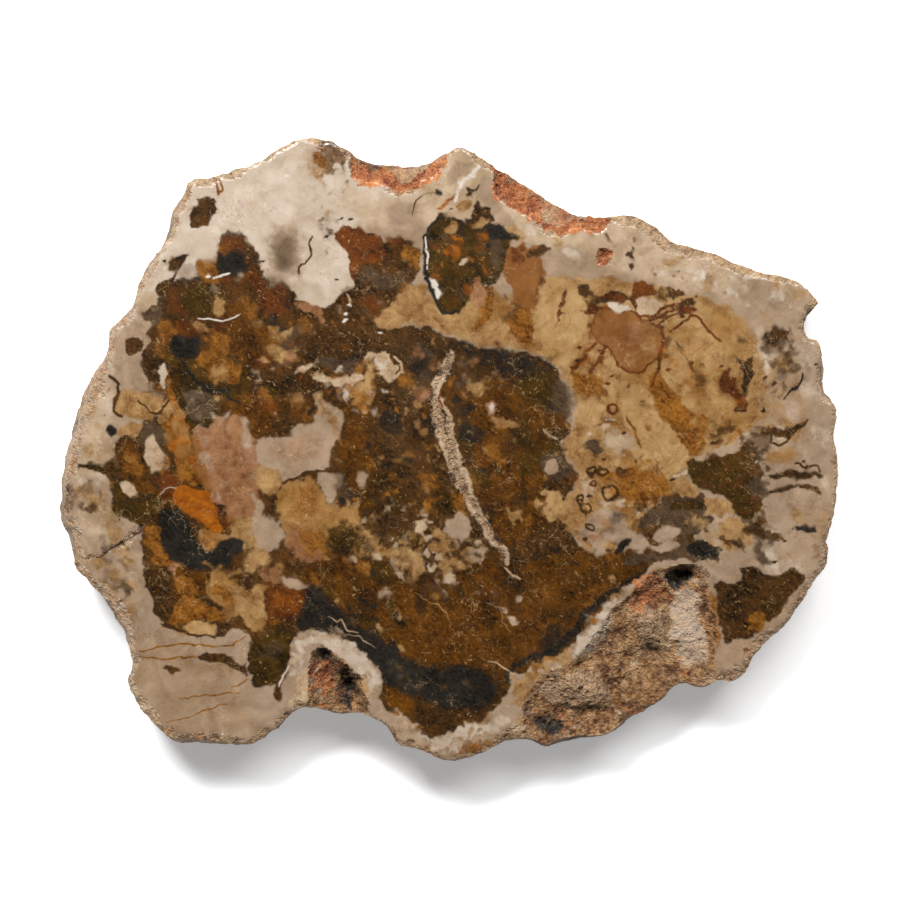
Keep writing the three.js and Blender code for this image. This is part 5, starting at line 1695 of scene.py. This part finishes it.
        # Painted shade: dark pits spotted over the broken surfaces by noise, where the mesh has no holes.
        painted_pore_shade = rugged * (1 - 0.5 * rust) * shader.noise(1.5, 4, away=0.41).below(0.37, 0.46)
        colour = shader.blend(0.6 * painted_pore_shade, colour, self.pore_painted_shade, "MULTIPLY")
        luck = shader.node("ShaderNodeSeparateColor", {}, {0: shader.crystals(1.3, "Color")})
        gritty = rugged * (0.3 + 0.7 * shader.noise(13, 3, away=0.19).above(0.4, 0.55))
        dirty = 0.45 * gritty * (1 - 0.5 * rust) * luck.above(0.45, 0.95)
        colour = shader.blend(dirty, colour, self.grit_shade, "MULTIPLY")
        # Pale dusty grains in random crystal cells, partly painted glints on the crystals' faces.
        dust_and_glints = 0.35 * gritty * (1 - 0.6 * rust) * luck.below(0.05, 0.3)
        return shader.blend(dust_and_glints, colour, linear(self.grain_dust_and_glint, self.light))

    def veined_colour(self, shader: Shader, colour: Wire, polish: Wire) -> Wire:
        """Runs fine dark and pale threads through the polished face.

        Args:
            shader: the material that is being built.
            colour: the stone's colour so far.
            polish: 1 on the polished face and 0 where the stone is broken.

        Returns:
            The colour with its threads.
        """
        for away, size, way, tint, strength in self.threads:
            line = abs(shader.noise(size, 5, away=away, twist=0.3) - 0.5).below(0.0, 0.01)
            where = shader.noise(2.3 * size, 2, away=away + 0.07).above(0.5, 0.62)
            colour = shader.blend(strength * polish * line * where, colour, tint, way)
        return colour


@dataclass
class Weathering:
    """A Geometry Nodes tree that moves the broken surfaces in and out along their normals.

    depth is how far, and lump how wide a lump of the relief is, in millimetres. Pits are cut into the
    lumps, finer times as small and pit_share times as deep, and middle brings the mean to about 0.
    """

    depth: float = 2.6
    lump: float = 5.5
    finer: float = 3.1
    pit_share: float = 1.4
    middle: float = 0.325

    def tree(self) -> bpy.types.NodeTree:
        """Builds the tree.

        Returns:
            The tree, with inputs for the mesh, the depth, the lump size and the material. It also
            keeps the relief as an attribute.
        """
        tree = bpy.data.node_groups.new("weathering", "GeometryNodeTree")
        kinds = {"Mesh": "Geometry", "Depth": "Float", "Lump size": "Float", "Material": "Material"}
        for name, kind in kinds.items():
            tree.interface.new_socket(name, in_out="INPUT", socket_type="NodeSocket" + kind)
        tree.interface.new_socket("Mesh", in_out="OUTPUT", socket_type="NodeSocketGeometry")
        nodes = Nodes(tree)
        mesh, depth, lump, material = (nodes.node("NodeGroupInput", output=name) for name in kinds)
        scale = 1 / lump
        lumps = self.noise(nodes, scale, (1, 1, 0.35), 3)
        pits = self.noise(nodes, self.finer * scale, (1, 1, 0.5), 2)
        relief = lumps - self.pit_share * (1 - pits) ** 3 - self.middle
        rough = nodes.node("GeometryNodeInputNamedAttribute", {"data_type": "FLOAT"}, {"Name": "rough"},
                           "Attribute")
        offset = nodes.scaled(nodes.node("GeometryNodeInputNormal"), relief * depth * rough)
        kept = nodes.node("GeometryNodeStoreNamedAttribute", {"data_type": "FLOAT", "domain": "POINT"},
                          {"Geometry": mesh, "Name": "relief", "Value": relief})
        moved = nodes.node("GeometryNodeSetPosition", {}, {"Geometry": kept, "Offset": offset})
        real = nodes.node("GeometryNodeRealizeInstances", {}, {0: moved})
        dressed = nodes.node("GeometryNodeSetMaterial", {}, {"Geometry": real, "Material": material})
        nodes.feed(tree.nodes.new("NodeGroupOutput").inputs[0], dressed)
        return tree

    def noise(self, nodes: Nodes, scale: Wire, stretch: tuple, detail: float) -> Wire:
        """Adds noise on the mesh's own places.

        Args:
            nodes: the tree that is being built.
            scale: the noise's scale.
            stretch: how much faster it runs along each axis.
            detail: how many finer layers it has.

        Returns:
            The noise, from about 0.25 to 0.75.
        """
        place = nodes.node("GeometryNodeInputPosition")
        stretched = nodes.node("ShaderNodeVectorMath", {"operation": "MULTIPLY"}, {0: place, 1: stretch})
        inputs = {"Vector": stretched, "Scale": scale, "Detail": detail}
        return nodes.node("ShaderNodeTexNoise", {}, inputs)

    def apply(self, piece: bpy.types.Object, material: bpy.types.Material) -> None:
        """Weathers a piece and leaves it a plain mesh.

        Args:
            piece: the object to weather, whose attribute rough says where.
            material: the finish that its mesh gets.
        """
        values = {"Depth": self.depth * MM, "Lump size": self.lump * MM, "Material": material}
        modifier = piece.modifiers.new("weathering", "NODES")
        modifier.node_group = self.tree()
        for item in modifier.node_group.interface.items_tree:
            if item.in_out == "INPUT" and item.name in values:
                modifier[item.identifier] = values[item.name]
        bpy.context.view_layer.update()
        evaluated = piece.evaluated_get(bpy.context.evaluated_depsgraph_get())
        baked = bpy.data.meshes.new_from_object(evaluated)
        piece.modifiers.clear()
        piece.data = baked


@dataclass
class Slab:
    """The slice of stone: its form, painted with its markings and dressed in its finish.

    Lengths are in millimetres. The side takes its tones from rim_width inside the rim. What lies
    within polish_depth of the face is polished, and a worn rim reaches no deeper than rim_depth. The
    relief is full from full_depth below the face on, side_relief of that on the side, and eases in
    over foot_height above the underside.
    """

    form: SlabForm
    finish: StoneFinish
    weathering: Weathering
    rim_width: float = 1.5
    crisp_angle: float = 32.0
    polish_depth: float = 0.06
    rim_depth: float = 2.2
    full_depth: float = 1.2
    side_relief: float = 0.55
    foot_height: float = 3.0

    def build(self) -> bpy.types.Object:
        """Makes the slab.

        Returns:
            The slab's object, at the origin.
        """
        mesh = bpy.data.meshes.new("stone_slice")
        mesh.from_pydata((self.form.points * MM).tolist(), [], self.form.faces)
        self.write_attributes(mesh)
        mesh.shade_smooth()
        piece = bpy.data.objects.new("stone_slice", mesh)
        bpy.context.scene.collection.objects.link(piece)
        self.weathering.apply(piece, self.finish.material())
        piece.data.set_sharp_from_angle(angle=math.radians(self.crisp_angle))
        return piece

    def write_attributes(self, mesh: bpy.types.Mesh) -> None:
        """Writes the tones, the polish and the roughness on the mesh's points.

        Args:
            mesh: the mesh of the form's points.
        """
        form = self.form
        points = form.points
        height = form.solid.height
        stations = len(form.foot)
        rim = points[form.face_first - stations:form.face_first, :2]
        rim = rim - self.rim_width * form.outward
        places = np.vstack([rim, points[form.face_first:, :2]]) + DRAWING_MIDDLE
        painted = Painter(places).paint(MARKINGS)
        sides = np.tile(painted[:stations], (form.side_rows + 1, 1))
        shares = np.vstack([sides, painted[stations:]])
        numbers = np.arange(len(points))
        on_side = numbers < form.face_first
        under = numbers >= form.under_first
        polish = (points[:, 2] > height - self.polish_depth) & ~under
        self.crust_side(shares, points, on_side)
        worn = ~on_side & ~polish & ~under & (points[:, 2] > height - self.rim_depth)
        self.crust_rim(shares, points, worn & self.near_rim(points))
        rough = np.where(under | polish, 0.0, 1.0)
        rough *= smooth_step(points[:, 2] / self.foot_height)
        sunk = smooth_step((height - points[:, 2]) / self.full_depth)
        rough *= np.where(on_side, self.side_relief, sunk)
        self.write_number(mesh, "polish", polish.astype(float))
        self.write_number(mesh, "rough", rough)
        for sheet in range(TONE_SHEETS):
            part = shares[:, 4 * sheet:4 * sheet + 4].astype(np.float32)
            attribute = mesh.attributes.new(f"tones_{sheet}", "FLOAT_COLOR", "POINT")
            attribute.data.foreach_set("color", part.ravel())

    def crust_side(self, shares: np.ndarray, points: np.ndarray, rows: np.ndarray) -> None:
        """Gives the side its weathered crust of pale, bark-brown and rusty stone.

        Args:
            shares: how much of each tone each point has, which changes.
            points: all points of the slab.
            rows: which of them are crusted.
        """
        side = points[rows] * (1, 1, 0.4)
        lumps = soft_noise(side, 14, 51) + 0.6 * soft_noise(side, 4, 52)
        streaks = soft_noise(side, 7, 53) + 0.6 * soft_noise(side, 2.5, 54)
        part = shares[rows] * 0.25
        left = self.leftness(points[rows])
        part[:, CREAM.value] += 0.4 * left
        part[:, CHALK.value] += 0.4 + 0.3 * np.clip(lumps, -1, 1)
        low = smooth_step((self.form.solid.height - 1 - points[rows, 2]) / 9)
        part[:, BARK.value] += low * (0.3 - 0.3 * np.clip(lumps, -1, 1))
        part[:, PORE.value] += np.clip(streaks - 0.3, 0, 0.6)
        shares[rows] = part / part.sum(axis=1, keepdims=True)

    def leftness(self, points: np.ndarray) -> np.ndarray:
        """How much each point belongs to the paler left end, from 0 to 1."""
        return smooth_step((-100 - points[:, 0]) / 40)

    def near_rim(self, points: np.ndarray) -> np.ndarray:
        """Which points lie where wear alone, and no hollow, has lowered the face."""
        outline = points[self.form.face_first - len(self.form.foot):self.form.face_first, :2]
        return self.form.worn_down(points[:, :2], outline) > 0.01

    def crust_rim(self, shares: np.ndarray, points: np.ndarray, rows: np.ndarray) -> None:
        """Turns the worn rim pale and chalky, with rusty and bark-brown pits.

        Args:
            shares: how much of each tone each point has, which changes.
            points: all points of the slab.
            rows: which of them are crusted.
        """
        broken = shares[:, PORE.value] + shares[:, BARK.value]
        rows = rows & (broken < 0.3)
        lumps = soft_noise(points[rows], 3.4, 71) + 0.7 * soft_noise(points[rows], 1.7, 72)
        part = shares[rows] * 0.35
        part[:, CHALK.value] += 0.6
        left = self.leftness(points[rows])
        part[:, CREAM.value] += np.clip(lumps, 0, 0.6) + 0.5 * left
        part[:, PORE.value] += np.clip(0.3 * left - lumps - 0.3, 0, 0.5)
        part[:, BARK.value] += (1 - 0.7 * left) * np.clip(-lumps - 0.6, 0, 0.8)
        shares[rows] = part / part.sum(axis=1, keepdims=True)

    def write_number(self, mesh: bpy.types.Mesh, name: str, values: np.ndarray) -> None:
        """Writes one number for each point of a mesh."""
        attribute = mesh.attributes.new(name, "FLOAT", "POINT")
        attribute.data.foreach_set("value", values.astype(np.float32))


@dataclass(frozen=True)
class Lamp:
    """A square soft lamp that faces the slab, in metres and watts."""

    name: str
    place: tuple[float, float, float]
    side: float
    power: float

    def hang(self) -> None:
        """Puts the lamp in the scene."""
        data = bpy.data.lights.new(self.name, "AREA")
        data.size = self.side
        data.energy = self.power
        lamp = bpy.data.objects.new(self.name, data)
        lamp.location = self.place
        lamp.rotation_euler = (-Vector(self.place)).to_track_quat("-Z", "Y").to_euler()
        bpy.context.scene.collection.objects.link(lamp)


@dataclass
class Studio:
    """A pale floor, a light room, soft lamps and a camera straight above the slab.

    The photograph is 900 pixels and 389.3 mm of the polished face across. room_light is the
    strength of the white light from the sides, and overhead_light of that from straight above,
    which the polish mirrors. One eases into the other between the two heights of easing, where 1 is
    straight above. white is the floor's colour and glow its own light.
    """

    view_width: float = 0.3893
    view_middle: tuple[float, float] = (0.0009, -0.0003)
    lens: float = 100.0
    sensor: float = 36.0
    floor_reach: float = 4.0
    white: float = 0.92
    glow: float = 0.28
    room_light: float = 0.16
    overhead_light: float = 0.04
    easing: tuple[float, float] = (0.7, 0.93)
    lamps: tuple[Lamp, ...] = (Lamp("key", (-0.63, 1.365, 1.61), 0.77, 91),
                               Lamp("fill", (0.63, 1.33, 1.82), 1.26, 50))

    def floor(self) -> None:
        """Lays the floor, a sheet that glows a little and so lightens the shadow on it."""
        mesh = bpy.data.meshes.new("floor")
        reach = self.floor_reach
        places = [(-reach, -reach, 0), (reach, -reach, 0), (reach, reach, 0), (-reach, reach, 0)]
        mesh.from_pydata(places, [], [(0, 1, 2, 3)])
        shader = Shader("pale floor")
        shader.dress(Base_Color=(self.white, self.white, self.white, 1), Roughness=0.9,
                     Specular_IOR_Level=0.1, Emission_Color=(1, 1, 1, 1), Emission_Strength=self.glow)
        mesh.materials.append(shader.material)
        floor = bpy.data.objects.new("floor", mesh)
        bpy.context.scene.collection.objects.link(floor)

    def room(self) -> None:
        """Fills the room with white light, that overhead eased into the rest."""
        world = bpy.data.worlds.new("room")
        world.use_nodes = True
        nodes = Nodes(world.node_tree)
        heading = nodes.node("ShaderNodeTexCoord", output="Generated")
        up = nodes.node("ShaderNodeSeparateXYZ", {}, {0: heading}, "Z")
        low, high = self.easing
        ramp = {"Value": up, 1: low, 2: high, 3: self.room_light, 4: self.overhead_light}
        light = nodes.node("ShaderNodeMapRange", {"interpolation_type": "SMOOTHSTEP"}, ramp)
        background = world.node_tree.nodes["Background"]
        nodes.feed(background.inputs["Strength"], light)
        nodes.feed(background.inputs["Color"], (1, 1, 1, 1))
        bpy.context.scene.world = world

    def camera(self, height: float) -> None:
        """Sets the camera above the slab's middle.

        Args:
            height: the polished face's height, in metres.
        """
        data = bpy.data.cameras.new("overhead")
        data.lens = self.lens
        data.sensor_width = self.sensor
        camera = bpy.data.objects.new("overhead", data)
        camera.location = (*self.view_middle, height + self.view_width * self.lens / self.sensor)
        bpy.context.scene.collection.objects.link(camera)
        bpy.context.scene.camera = camera

    def build(self, height: float) -> None:
        """Sets everything up around the slab.

        Args:
            height: the polished face's height, in metres.
        """
        self.floor()
        for lamp in self.lamps:
            lamp.hang()
        self.room()
        self.camera(height)
        bpy.context.scene.view_settings.view_transform = "Standard"


def main() -> None:
    """Builds the slab and its studio."""
    logging.basicConfig(level=logging.INFO, format="%(message)s")
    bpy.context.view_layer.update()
    solid = PackedSolid(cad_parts[NODE])
    form = SlabForm(solid)
    log.info("slab: %d points, %d triangles", len(form.points), len(form.faces))
    piece = Slab(form, StoneFinish(), Weathering()).build()
    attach(piece, "root")
    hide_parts(NODE)
    Studio().build(solid.height * MM)


if __name__ == "__main__":
    main()
